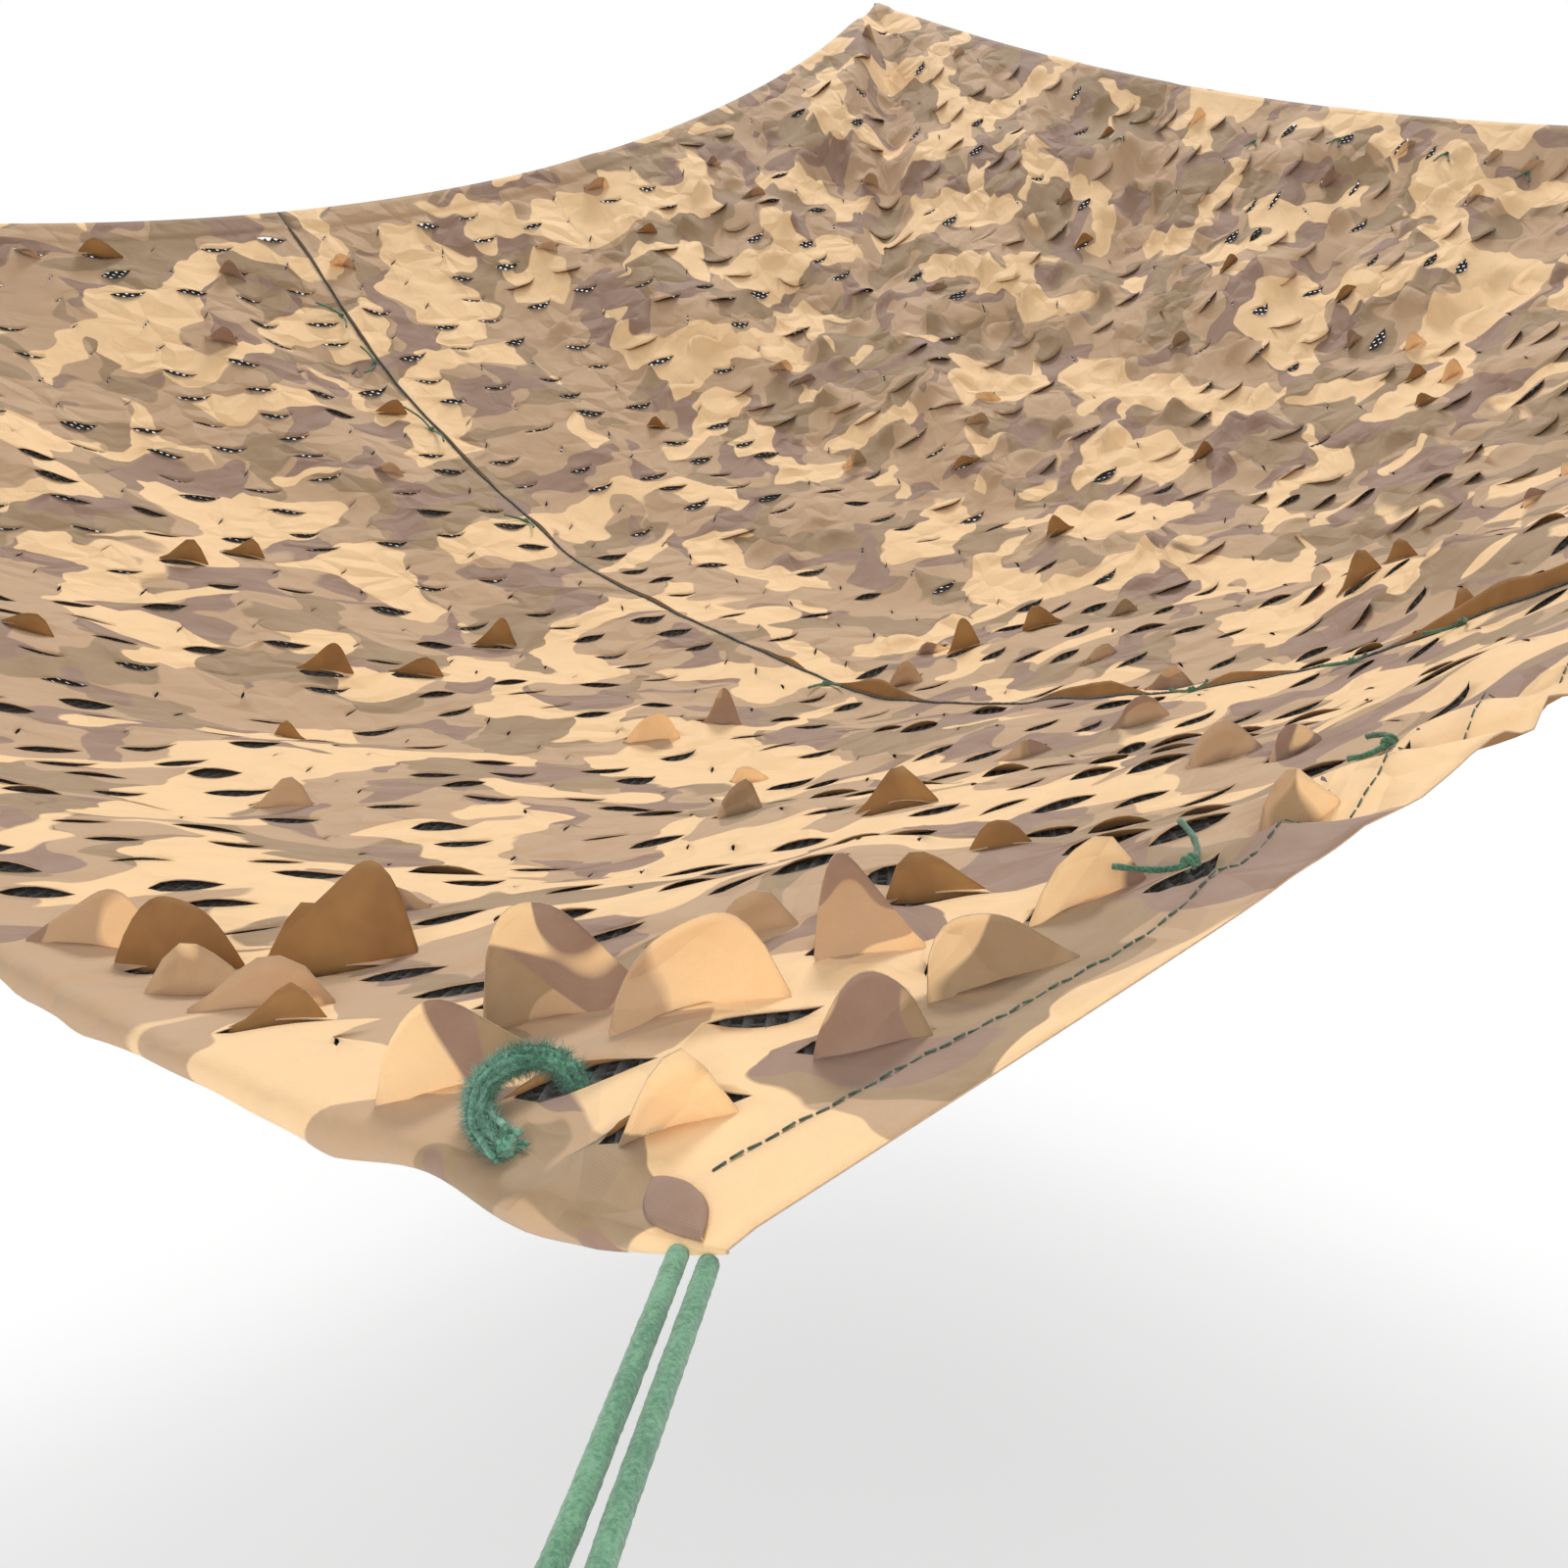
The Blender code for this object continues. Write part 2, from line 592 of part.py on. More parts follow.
def seat_strand(start, outward, cloth):
    """Bring a strand's flat end in from outside until it only just clears the cloth."""
    side = outward.cross(Vector((0.0, 0.0, 1.0))).normalized()
    over = side.cross(outward)
    rim = [Vector((0.0, 0.0, 0.0))]
    for share in (0.25, 0.5, 0.75, 1.0):
        for k in range(16):
            angle = math.tau * k / 16
            spoke = side * math.cos(angle) + over * math.sin(angle)
            rim.append(spoke * (share * LOOP_RADIUS))
    place = start + outward * SEAT_FROM
    for _ in range(round(2 * SEAT_FROM / SEAT_STEP)):
        near = min(tree.find_nearest(place + edge)[3] for tree in cloth for edge in rim)
        if near <= TIE_CLEARANCE + SEAT_STEP:
            break
        place = place - outward * SEAT_STEP
    return place


def corner_loop(name, corner, outward, cloth):
    """Build the doubled cord that holds a corner: out, round a turn and back."""
    outward = outward.normalized()
    side = Vector((-outward.y, outward.x, 0.0)).normalized()
    drop = Vector((0.0, 0.0, -LOOP_DROP))
    turn_at = LOOP_REACH + LOOP_BEND
    shape = list(zip(LOOP_STRAIGHT, LOOP_SPREAD))
    for degrees in LOOP_TURN:
        angle = math.radians(degrees)
        shape.append((turn_at + LOOP_BEND * math.cos(angle), LOOP_BEND * math.sin(angle)))
    out = []
    for hand in (1, -1):
        start = corner + side * (LOOP_HALF_APART * hand) + drop
        strand = [seat_strand(start, outward, cloth)]
        strand += [corner + drop + outward * a + side * (b * hand) for a, b in shape]
        out.append(strand)
    tip = corner + drop + outward * (turn_at + LOOP_BEND)
    points = out[0] + [tip] + out[1][::-1]
    route = smooth_route(points, LOOP_RADIUS * LOOP_STEP)
    return cord_tube(name, route, LOOP_RADIUS, CORD_GREEN)


def main():
    """Build the netting's pieces in one collection."""
    clear_scene()
    netting = bpy.data.collections.new("Shade netting")
    bpy.context.scene.collection.children.link(netting)
    panels = [near_panel(), far_panel()]
    for panel in panels:
        netting.objects.link(panel)
    netting.objects.link(seam_cord())
    bpy.context.view_layer.update()
    scene_graph = bpy.context.evaluated_depsgraph_get()
    cloth = [BVHTree.FromObject(panel, scene_graph) for panel in panels]
    for tie in TIES:
        netting.objects.link(tie_cord(tie, cloth))
    netting.objects.link(near_tie(cloth))
    # Each corner's loop: where it starts, and the way that it is pulled
    loops = (
        ("near_loop", NEAR_CORNER + NEAR_LOOP_SHIFT, Vector((-0.770, -0.638, 0.0))),
        ("right_loop", RIGHT_CORNER, Vector((0.70, -0.70, 0.08))),
        ("left_loop", LEFT_CORNER, Vector((-0.70, 0.70, 0.08))),
        ("far_loop", FAR_CORNER, Vector((0.70, 0.70, 0.06))),
    )
    for name, corner, outward in loops:
        netting.objects.link(corner_loop(name, corner, outward, cloth))
    bpy.context.view_layer.update()


main()
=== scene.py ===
"""Dresses a leaf-cut shade netting that hangs by its corners, and sets its studio.

Flat places are measured on the cloth before it is hung: x along its right hem,
y along its left hem, and lift off its upper face, all in metres.
"""

import logging
import math
from dataclasses import dataclass, field
from enum import Enum

import bpy
import numpy as np
from mathutils import Matrix, Vector
from mathutils.bvhtree import BVHTree

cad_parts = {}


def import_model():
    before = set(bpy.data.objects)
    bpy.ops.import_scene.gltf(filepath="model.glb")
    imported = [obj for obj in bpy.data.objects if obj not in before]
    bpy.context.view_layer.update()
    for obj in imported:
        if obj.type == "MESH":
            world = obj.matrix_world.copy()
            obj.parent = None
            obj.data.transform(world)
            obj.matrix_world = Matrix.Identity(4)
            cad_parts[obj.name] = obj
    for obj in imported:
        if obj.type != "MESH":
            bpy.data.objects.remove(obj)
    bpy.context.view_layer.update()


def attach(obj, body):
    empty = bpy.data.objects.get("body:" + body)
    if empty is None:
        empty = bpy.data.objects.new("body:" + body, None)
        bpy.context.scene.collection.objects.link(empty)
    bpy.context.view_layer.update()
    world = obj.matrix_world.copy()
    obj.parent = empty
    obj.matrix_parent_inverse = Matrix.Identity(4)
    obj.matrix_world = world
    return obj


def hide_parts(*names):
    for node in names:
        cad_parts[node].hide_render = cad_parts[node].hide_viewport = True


log = logging.getLogger("shade_netting")

Point = tuple[float, float, float]
Colour = tuple[float, float, float, float]

BODY = "root"
FLAT_MAP = "flat"
SEAM_AT = 1.190
SEAM_HALF = 0.0021
BESIDE_SEAM = 1.180
TURNED_EDGE_GAP = 0.0005
NEAR_CELLS = 12
FAR_CELLS = 18
CLEARANCE = 0.0004


# Shader work


class Wire:
    """One value in a material's nodes, with Python's operators on it."""

    def __init__(self, bench: "Bench", socket: bpy.types.NodeSocket) -> None:
        """Keep the bench that adds nodes, and the output socket that gives the value."""
        self.bench = bench
        self.socket = socket

    def _join(self, operation: str, first: object, second: object) -> "Wire":
        """Return a Math node's result on two values or wires."""
        return self.bench.node("ShaderNodeMath", {"operation": operation}, {0: first, 1: second})

    def __add__(self, other: object) -> "Wire":
        """Return the sum."""
        return self._join("ADD", self, other)

    __radd__ = __add__

    def __sub__(self, other: object) -> "Wire":
        """Return the difference."""
        return self._join("SUBTRACT", self, other)

    def __rsub__(self, other: object) -> "Wire":
        """Return the difference from a number."""
        return self._join("SUBTRACT", other, self)

    def __mul__(self, other: object) -> "Wire":
        """Return the product."""
        return self._join("MULTIPLY", self, other)

    __rmul__ = __mul__

    def highest(self, other: object) -> "Wire":
        """Return the larger of two values."""
        return self._join("MAXIMUM", self, other)

    def lowest(self, other: object) -> "Wire":
        """Return the smaller of two values."""
        return self._join("MINIMUM", self, other)

    def above(self, edge: object, softness: float) -> "Wire":
        """Return a mask that goes from 0 to 1 about an edge, over the softness."""
        return ((self - edge) * (1.0 / softness) + 0.5).highest(0.0).lowest(1.0)


class Bench:
    """A workbench for one material: its nodes, and what joins them."""

    def __init__(self, name: str) -> None:
        """Start a material with a Principled shader.

        Args:
            name: The material's name.
        """
        self.material = bpy.data.materials.new(name)
        self.material.use_nodes = True
        self.tree = self.material.node_tree
        self.shader = self.tree.nodes["Principled BSDF"]

    def node(self, kind: str, settings: dict[str, object] | None = None,
             inputs: dict[str | int, object] | None = None, output: str | int = 0) -> Wire:
        """Add a node.

        Args:
            kind: The node's type.
            settings: Its settings, set before its sockets.
            inputs: The values or wires of its sockets.
            output: Which output to return.

        Returns:
            The output as a wire.
        """
        made = self.tree.nodes.new(kind)
        for key, value in (settings or {}).items():
            setattr(made, key, value)
        for key, value in (inputs or {}).items():
            self.feed(made.inputs[key], value)
        return Wire(self, made.outputs[output])

    def feed(self, socket: bpy.types.NodeSocket, value: object) -> None:
        """Give a socket a value or a link.

        Args:
            socket: The input socket.
            value: A number, a colour or a wire.
        """
        if isinstance(value, Wire):
            self.tree.links.new(value.socket, socket)
        else:
            socket.default_value = value

    def noise(self, place: Wire, scale: float, detail: float, rough: float,
              output: str = "Fac", bend: float = 0.0, flat: bool = True) -> Wire:
        """Return a noise on a place.

        Args:
            place: The wire of the place.
            scale: The noise's scale, per metre.
            detail: How many finer layers it has.
            rough: How strong they are.
            output: Fac or Color.
            bend: How far the noise bends itself.
            flat: Whether it is worked out on two axes alone.

        Returns:
            The noise as a wire.
        """
        return self.node("ShaderNodeTexNoise", {"noise_dimensions": "2D" if flat else "3D"},
                         {"Vector": place, "Scale": scale, "Detail": detail, "Roughness": rough,
                          "Distortion": bend}, output)

    def flat_place(self) -> Wire:
        """Return the place in the print, from the piece's own map."""
        return self.node("ShaderNodeUVMap", {"uv_map": FLAT_MAP})

    def solid_place(self) -> Wire:
        """Return the place in the piece's own coordinates."""
        return self.node("ShaderNodeTexCoord", output="Object")

    def blend(self, mask: object, first: object, second: object) -> Wire:
        """Return two colours mixed by a mask.

        Args:
            mask: How much of the second colour shows.
            first: The first colour.
            second: The second colour.

        Returns:
            The mixed colour.
        """
        made = self.tree.nodes.new("ShaderNodeMix")
        made.data_type = "RGBA"
        self.feed(made.inputs[0], mask)
        self.feed(made.inputs[6], first)
        self.feed(made.inputs[7], second)
        return Wire(self, made.outputs[2])

    def moved(self, place: Wire, push: Wire, reach: float) -> Wire:
        """Return a place pushed about by a colour noise, as far as its reach."""
        return self.node("ShaderNodeVectorMath", {"operation": "MULTIPLY_ADD"},
                         {0: push, 1: (reach, reach, reach), 2: place})

    def shifted(self, place: Wire, shift: Point) -> Wire:
        """Return a place shifted by a fixed step."""
        return self.node("ShaderNodeMapping", {}, {"Vector": place, "Location": shift})

    def bump(self, height: Wire, strength: float, distance: float) -> None:
        """Feed a height to the shader's normal, at a strength and a size in metres."""
        normal = self.node("ShaderNodeBump", {}, {"Height": height, "Strength": strength,
                                                  "Distance": distance}, "Normal")
        self.feed(self.shader.inputs["Normal"], normal)

    def dress(self, colour: object, roughness: object, **constants: float) -> bpy.types.Material:
        """Feed the shader's main sockets.

        Args:
            colour: The base colour or its wire.
            roughness: The roughness or its wire.
            constants: Other sockets, by name with _ for a space.

        Returns:
            The material.
        """
        self.feed(self.shader.inputs["Base Color"], colour)
        self.feed(self.shader.inputs["Roughness"], roughness)
        for key, value in constants.items():
            self.shader.inputs[key.replace("_", " ")].default_value = value
        return self.material


@dataclass(frozen=True)
class Blotches:
    """One printed tone's blotches, and how many more of them the far side gets as painted shade of its
    steep wall.
    """

    tone: Colour
    start: Point
    scale: float
    edge: float
    # More blotches on the far side stand in as painted shade of its steep wall.
    more_as_far_shade: float = 0.0
    edge_softness: float = 0.010

    def mask(self, bench: Bench, place: Wire, far_shade_side: Wire) -> Wire:
        """Return where the blotches lie.

        Args:
            bench: The material's bench.
            place: The flat place, pushed about.
            far_shade_side: The mask of the net's far side, where more blotches paint its shade.

        Returns:
            The mask.
        """
        # The edge is lower on the far side, so more of the tone shows there as painted shade.
        edge = self.edge - self.more_as_far_shade * far_shade_side if self.more_as_far_shade else self.edge
        cloud = bench.noise(bench.shifted(place, self.start), self.scale, 1.1, 0.36, bend=0.55)
        return cloud.above(edge, self.edge_softness)


@dataclass(frozen=True)
class BlotchedCloth:
    """Coated cloth printed with khaki, plum and sand blotches on taupe, with extra khaki on the far
    side as painted shade.
    """

    taupe: Colour = (0.560, 0.360, 0.205, 1.0)
    # Khaki is print; its extra share on the far side is painted shade.
    khaki: Blotches = Blotches((0.365, 0.238, 0.125, 1.0), (7.3, 2.1, 0.0), 6.4, 0.555, 0.045)
    plum: Blotches = Blotches((0.325, 0.195, 0.135, 1.0), (3.9, 11.7, 0.0), 8.0, 0.590)
    sand: Blotches = Blotches((0.990, 0.665, 0.350, 1.0), (15.2, 6.4, 0.0), 6.3, 0.552)
    worn_tone: Colour = (0.62, 0.50, 0.38, 1.0)
    wear: float = 0.16
    push_scale: float = 14.0
    push_reach: float = 0.062
    crease_push: float = 0.030
    # Where the far side's painted shade of extra khaki starts, and how softly it comes in.
    far_shade_from: float = 1.9
    far_shade_softness: float = 1.2
    facet_scale: float = 17.0
    weave_scale: float = 330.0

    def material(self) -> bpy.types.Material:
        """Return the printed upper face's material."""
        bench = Bench("blotched_cloth")
        place = bench.flat_place()
        push = bench.noise(place, self.push_scale, 1.0, 0.4, "Color")
        bent = bench.moved(place, push, self.push_reach)
        # The far side's mask: extra khaki there paints the shade on the steep wall.
        across = bench.node("ShaderNodeSeparateXYZ", {}, {"Vector": place}, "X")
        far_shade_side = across.above(self.far_shade_from, self.far_shade_softness)
        colour: Colour | Wire = self.taupe
        for blotches in (self.khaki, self.plum, self.sand):
            colour = bench.blend(blotches.mask(bench, bent, far_shade_side), colour, blotches.tone)
        worn = bench.noise(place, 38.0, 4.0, 0.6)
        colour = bench.blend(worn.above(0.52, 0.5) * self.wear, colour, self.worn_tone)
        weave = self.weave(bench, place)
        grain = bench.noise(place, 900.0, 2.0, 0.6)
        crease = bench.noise(place, 15.0, 2.0, 0.5, bend=0.8)
        facets = self.facets(bench, place, push)
        bench.bump(weave * 0.7 + grain * 0.5 + worn * 2.2 + crease * 26.0 + facets * 95.0,
                   0.45, 0.0004)
        return bench.dress(colour, 0.78 + 0.14 * worn, Specular_IOR_Level=0.30,
                           Sheen_Weight=0.12, Sheen_Roughness=0.5)

    def facets(self, bench: Bench, place: Wire, push: Wire) -> Wire:
        """Return the height of the stiff cloth's angular creases.

        Args:
            bench: The material's bench.
            place: The flat place.
            push: The noise that bends the creases.

        Returns:
            The height's wire.
        """
        bent = bench.moved(place, push, self.crease_push)
        cells = bench.node("ShaderNodeTexVoronoi",
                           {"feature": "DISTANCE_TO_EDGE", "voronoi_dimensions": "2D"},
                           {"Vector": bent, "Scale": self.facet_scale, "Randomness": 1.0})
        return cells * bench.noise(place, 5.0, 1.0, 0.5).above(0.47, 0.25)

    def weave(self, bench: Bench, place: Wire) -> Wire:
        """Return the height of the cloth's fine weave.

        Args:
            bench: The material's bench.
            place: The flat place.

        Returns:
            The height's wire.
        """
        threads = {"Vector": place, "Scale": self.weave_scale, "Distortion": 0.4}
        across, along = (bench.node("ShaderNodeTexWave", {"bands_direction": axis}, threads)
                         for axis in ("X", "Y"))
        return across * along


@dataclass(frozen=True)
class BrownUnderside:
    """The cloth's unprinted brown underside."""

    tone: Colour = (0.370, 0.190, 0.065, 1.0)
    deep: Colour = (0.270, 0.130, 0.045, 1.0)

    def material(self) -> bpy.types.Material:
        """Return the underside's material."""
        bench = Bench("brown_underside")
        place = bench.flat_place()
        cloud = bench.noise(place, 22.0, 3.0, 0.55)
        colour = bench.blend(cloud.above(0.5, 0.4), self.tone, self.deep)
        grain = bench.noise(place, 700.0, 2.0, 0.6)
        bench.bump(grain + cloud * 2.0, 0.3, 0.0004)
        return bench.dress(colour, 0.75 + 0.15 * grain, Specular_IOR_Level=0.3)


@dataclass(frozen=True)
class CutEdge:
    """The pale raw edge of the cut cloth."""

    tone: Colour = (0.70, 0.49, 0.31, 1.0)
    deep: Colour = (0.42, 0.29, 0.19, 1.0)

    def material(self) -> bpy.types.Material:
        """Return the raw edge's material."""
        bench = Bench("raw_cut_edge")
        place = bench.flat_place()
        fibre = bench.noise(place, 260.0, 2.0, 0.6)
        colour = bench.blend(fibre, self.tone, self.deep)
        return bench.dress(colour, 0.9, Specular_IOR_Level=0.2)


@dataclass(frozen=True)
class FuzzyCord:
    """Spun synthetic cord with a mottled, fuzzy face."""

    name: str
    light: Colour
    dark: Colour
    grain: float = 420.0

    def material(self) -> bpy.types.Material:
        """Return the cord's material."""
        bench = Bench(self.name)
        place = bench.solid_place()
        mottle = bench.noise(place, self.grain, 3.0, 0.65, flat=False)
        cloud = bench.noise(place, 45.0, 2.0, 0.5, flat=False)
        mask = (mottle * 0.75 + cloud * 0.45).above(0.61, 0.22)
        colour = bench.blend(mask, self.dark, self.light)
        fluff = bench.noise(place, self.grain * 3.0, 2.0, 0.7, flat=False)
        bench.bump(mottle + fluff * 0.6, 0.6, 0.0006)
        return bench.dress(colour, 0.86 + 0.1 * fluff, Specular_IOR_Level=0.25,
                           Sheen_Weight=0.35, Sheen_Roughness=0.6)


LOOP_CORD = FuzzyCord("sage_loop_cord", (0.155, 0.365, 0.200, 1.0), (0.045, 0.185, 0.092, 1.0),
                      700.0)
TIE_CORD = FuzzyCord("green_tie_cord", (0.100, 0.270, 0.150, 1.0), (0.020, 0.095, 0.045, 1.0),
                     900.0)
FRAYED_CORD = FuzzyCord("frayed_tie_cord", (0.180, 0.420, 0.290, 1.0),
                        (0.030, 0.160, 0.085, 1.0), 500.0)
DARK_CORD = FuzzyCord("dark_seam_cord", (0.062, 0.056, 0.034, 1.0), (0.016, 0.016, 0.009, 1.0),
                      900.0)
STITCH_THREAD = FuzzyCord("dark_stitch_thread", (0.070, 0.120, 0.065, 1.0),
                          (0.018, 0.045, 0.022, 1.0), 900.0)
# Near-black support strings: painted shade for the shaded ground seen through the cuts.
SHADE_DARK_MESH_STRING = FuzzyCord("dark_mesh_string", (0.040, 0.034, 0.024, 1.0),
                        (0.010, 0.009, 0.006, 1.0), 700.0)


@dataclass(frozen=True)
class StudioFloor:
    """A plain pale floor."""

    tone: Colour = (0.56, 0.56, 0.56, 1.0)
    glow: float = 0.52

    def material(self) -> bpy.types.Material:
        """Return the floor's material."""
        bench = Bench("studio_floor")
        place = bench.solid_place()
        cloud = bench.noise(place, 1.5, 2.0, 0.5, flat=False)
        return bench.dress(self.tone, 0.85 + 0.1 * cloud, Specular_IOR_Level=0.1,
                           Emission_Color=(1.0, 1.0, 1.0, 1.0), Emission_Strength=self.glow)


# The hung cloth's shape


@dataclass(frozen=True)
class HungEdge:
    """An edge of the hung sheet, which sags and bows between two corners."""

    start: Point
    end: Point
    sag: float
    bow: float
    inward: Point

    def places(self, share: np.ndarray) -> np.ndarray:
        """Return places along the edge.

        Args:
            share: Shares of the way along, from 0 to 1.

        Returns:
            A row of three numbers for each share.
        """
        arch = 4.0 * share * (1.0 - share)
        start, end = np.array(self.start), np.array(self.end)
        place = start + (end - start) * share[:, None]
        place = place + np.array(self.inward) * (self.bow * arch)[:, None]
        place[:, 2] -= self.sag * arch
        return place


@dataclass(frozen=True)
class Fold:
    """A long soft ridge or, with a minus, a trough between two flat places."""

    start: tuple[float, float]
    end: tuple[float, float]
    half_width: float
    height: float


@dataclass(frozen=True)
class Pleat:
    """A bunched pleat across the right hem, highest at its crest."""

    x: float
    half_width: float
    height: float
    reach: float
    crest: float = 0.045


@dataclass(frozen=True)
class Crinkle:
    """A family of small waves in the cloth, for its uneven lie."""

    count: int
    shortest: float
    longest: float
    steepness: float
    seed: int

    def heights(self, x: np.ndarray, y: np.ndarray) -> np.ndarray:
        """Return the waves' height.

        Args:
            x: Flat places along the right hem.
            y: Flat places along the left hem.

        Returns:
            The heights in metres.
        """
        dice = np.random.RandomState(self.seed)
        total = np.zeros_like(x)
        for _ in range(self.count):
            length = self.shortest * (self.longest / self.shortest) ** dice.rand()
            heading, start, drift = dice.rand(3) * math.tau
            swell = np.sin(math.tau * (x * math.sin(drift) + y * math.cos(drift))
                           / (3.3 * length) + drift)
            wave = np.sin(math.tau * (x * math.cos(heading) + y * math.sin(heading)) / length
                          + start + 1.1 * swell)
            total += self.steepness * length * wave * (0.55 + 0.45 * swell)
        return total


def bell(distance: np.ndarray, half_width: float) -> np.ndarray:
    """Return 1 on a line, falling smoothly to nothing beside it."""
    return np.exp(-((distance / half_width) ** 2))


@dataclass(frozen=True)
class Drape:
    """The lie of the hung cloth, on its solids' own corners, sags and folds."""

    side: float = 3.0
    hem: float = 0.045
    roll_radius: float = 0.010
    roll_at_end: float = 0.08
    roll_ease: float = 0.12
    belly: float = 0.265
    fold_taper: float = 0.6
    ripple: float = 0.006
    ripple_length: float = 0.42
    calm_edge: float = 0.15
    step: float = 0.002
    pleat_crest: float = 0.045
    wide_pleat: float = 0.03
    near: Point = (-2.852, -2.748, -1.171)
    right: Point = (-0.042, -2.748, -0.545)
    left: Point = (-2.852, 0.031, -0.641)
    far: Point = (0.0, 0.0, 0.0)
    folds: tuple[Fold, ...] = (
        Fold((2.98, 2.98), (2.06, 2.25), 0.050, -0.046),
        Fold((2.16, 2.34), (1.76, 1.62), 0.080, 0.036),
        Fold((2.92, 2.96), (2.18, 2.69), 0.060, 0.046),
        Fold((2.24, 2.72), (1.72, 2.38), 0.080, 0.034),
        Fold((2.98, 2.45), (2.20, 2.05), 0.070, 0.034),
        Fold((2.98, 2.10), (2.30, 1.80), 0.070, -0.030),
        Fold((2.98, 1.70), (2.25, 1.48), 0.080, 0.034),
        Fold((2.98, 1.15), (2.20, 1.05), 0.090, -0.028),
        Fold((2.98, 0.70), (2.30, 0.72), 0.090, 0.030),
        Fold((1.95, 2.98), (1.62, 2.25), 0.090, 0.030),
        Fold((0.95, 2.98), (1.02, 2.20), 0.090, 0.022),
        Fold((0.30, 2.90), (0.62, 2.15), 0.100, 0.024),
        Fold((0.08, 1.70), (0.80, 1.45), 0.100, -0.018),
        Fold((0.10, 0.10), (0.62, 0.50), 0.060, 0.014),
        Fold((1.40, 0.04), (1.62, 0.95), 0.090, 0.024),
        Fold((2.10, 0.04), (1.95, 0.80), 0.100, -0.024),
    )
    pleats: tuple[Pleat, ...] = (
        Pleat(0.360, 0.022, 0.008, 0.07),
        Pleat(0.415, 0.022, 0.013, 0.08),
        Pleat(0.460, 0.020, -0.010, 0.07),
        Pleat(0.515, 0.022, 0.015, 0.09),
        Pleat(0.562, 0.020, -0.012, 0.08),
        Pleat(0.610, 0.022, 0.015, 0.09),
        Pleat(0.665, 0.024, -0.011, 0.08),
        Pleat(0.725, 0.026, 0.010, 0.07),
        Pleat(0.540, 0.012, 0.0060, 0.028, 0.012),
        Pleat(0.566, 0.011, -0.0055, 0.028, 0.012),
        Pleat(0.592, 0.012, 0.0060, 0.030, 0.012),
        Pleat(0.620, 0.012, -0.0060, 0.030, 0.012),
        Pleat(0.648, 0.013, 0.0060, 0.030, 0.012),
        Pleat(0.676, 0.012, -0.0050, 0.028, 0.012),
        Pleat(0.706, 0.014, 0.0055, 0.028, 0.012),
        Pleat(0.740, 0.014, -0.0045, 0.028, 0.012),
    )
    crinkles: tuple[Crinkle, ...] = (
        Crinkle(14, 0.10, 0.32, 0.0050, 11),
        Crinkle(14, 0.035, 0.10, 0.0032, 23),
    )
    crumple: Crinkle = Crinkle(10, 0.06, 0.15, 0.0080, 31)
    crumple_reach: float = 0.42
    pucker: float = 0.0004
    pucker_length: float = 0.021
    stitch_line: float = 0.0415
    roll_lumps: Crinkle = Crinkle(8, 0.10, 0.42, 0.0040, 47)
    roll_squeeze: float = 0.6
    roll_crease: float = 0.0011
    roll_unevenness: float = 140.0
    wall_waves: Crinkle = Crinkle(12, 0.09, 0.24, 0.0110, 61)
    wall_from: float = 1.2
    wall_width: float = 0.8
    hem_calm: float = 0.35
    calm_width: float = 0.03

    @property
    def edges(self) -> tuple[HungEdge, HungEdge, HungEdge, HungEdge]:
        """Return the right, far, left and back edges."""
        return (
            HungEdge(self.near, self.right, 0.035, -0.007, (0.0, 1.0, 0.0)),
            HungEdge(self.left, self.far, 0.247, 0.313, (0.0, -1.0, 0.0)),
            HungEdge(self.near, self.left, 0.250, -0.006, (1.0, 0.0, 0.0)),
            HungEdge(self.right, self.far, 0.135, -0.028, (-1.0, 0.0, 0.0)),
        )

    def sheet(self, u: np.ndarray, v: np.ndarray) -> np.ndarray:
        """Return the smooth hung sheet's places.

        Args:
            u: Shares of the right hem's length.
            v: Shares of the left hem's length.

        Returns:
            A row of three numbers for each pair.
        """
        near_right, left_far, near_left, right_far = self.edges
        a, b = u[:, None], v[:, None]
        along = (1 - b) * near_right.places(u) + b * left_far.places(u)
        across = (1 - a) * near_left.places(v) + a * right_far.places(v)
        corners = (1 - a) * (1 - b) * np.array(self.near) + a * (1 - b) * np.array(self.right)
        corners = corners + (1 - a) * b * np.array(self.left) + a * b * np.array(self.far)
        place = along + across - corners
        place[:, 2] -= self.belly * 16.0 * u * (1 - u) * v * (1 - v)
        return place

    def unevenness(self, x: np.ndarray, y: np.ndarray) -> np.ndarray:
        """Return how far folds, ripples, crinkles and pleats lift the cloth.

        Args:
            x: Flat places along the right hem.
            y: Flat places along the left hem.

        Returns:
            The lift in metres.
        """
        total = np.zeros_like(x)
        for fold in self.folds:
            span = np.array(fold.end) - np.array(fold.start)
            here_x, here_y = x - fold.start[0], y - fold.start[1]
            share = (here_x * span[0] + here_y * span[1]) / (span @ span)
            beside = np.hypot(here_x - span[0] * share, here_y - span[1] * share)
            taper = np.maximum(np.sin(math.pi * np.clip(share, 0.0, 1.0)), 0.0) ** self.fold_taper
            total += fold.height * taper * bell(beside, fold.half_width)
        edge = np.minimum(np.minimum(x, y), np.minimum(self.side - x, self.side - y))
        calm = np.clip(edge / self.calm_edge, 0.0, 1.0)
        wave = np.sin(math.tau * (x + 0.35 * y) / self.ripple_length)
        wave += np.sin(math.tau * (0.8 * y - 0.5 * x) / (1.3 * self.ripple_length))
        total += self.ripple * calm * wave
        for crinkle in self.crinkles:
            total += calm * crinkle.heights(x, y)
        wall = np.clip((x - self.wall_from) / self.wall_width, 0.0, 1.0)
        total += calm * wall * self.wall_waves.heights(x, y)
        near = np.exp(-(x ** 2 + y ** 2) / self.crumple_reach ** 2)
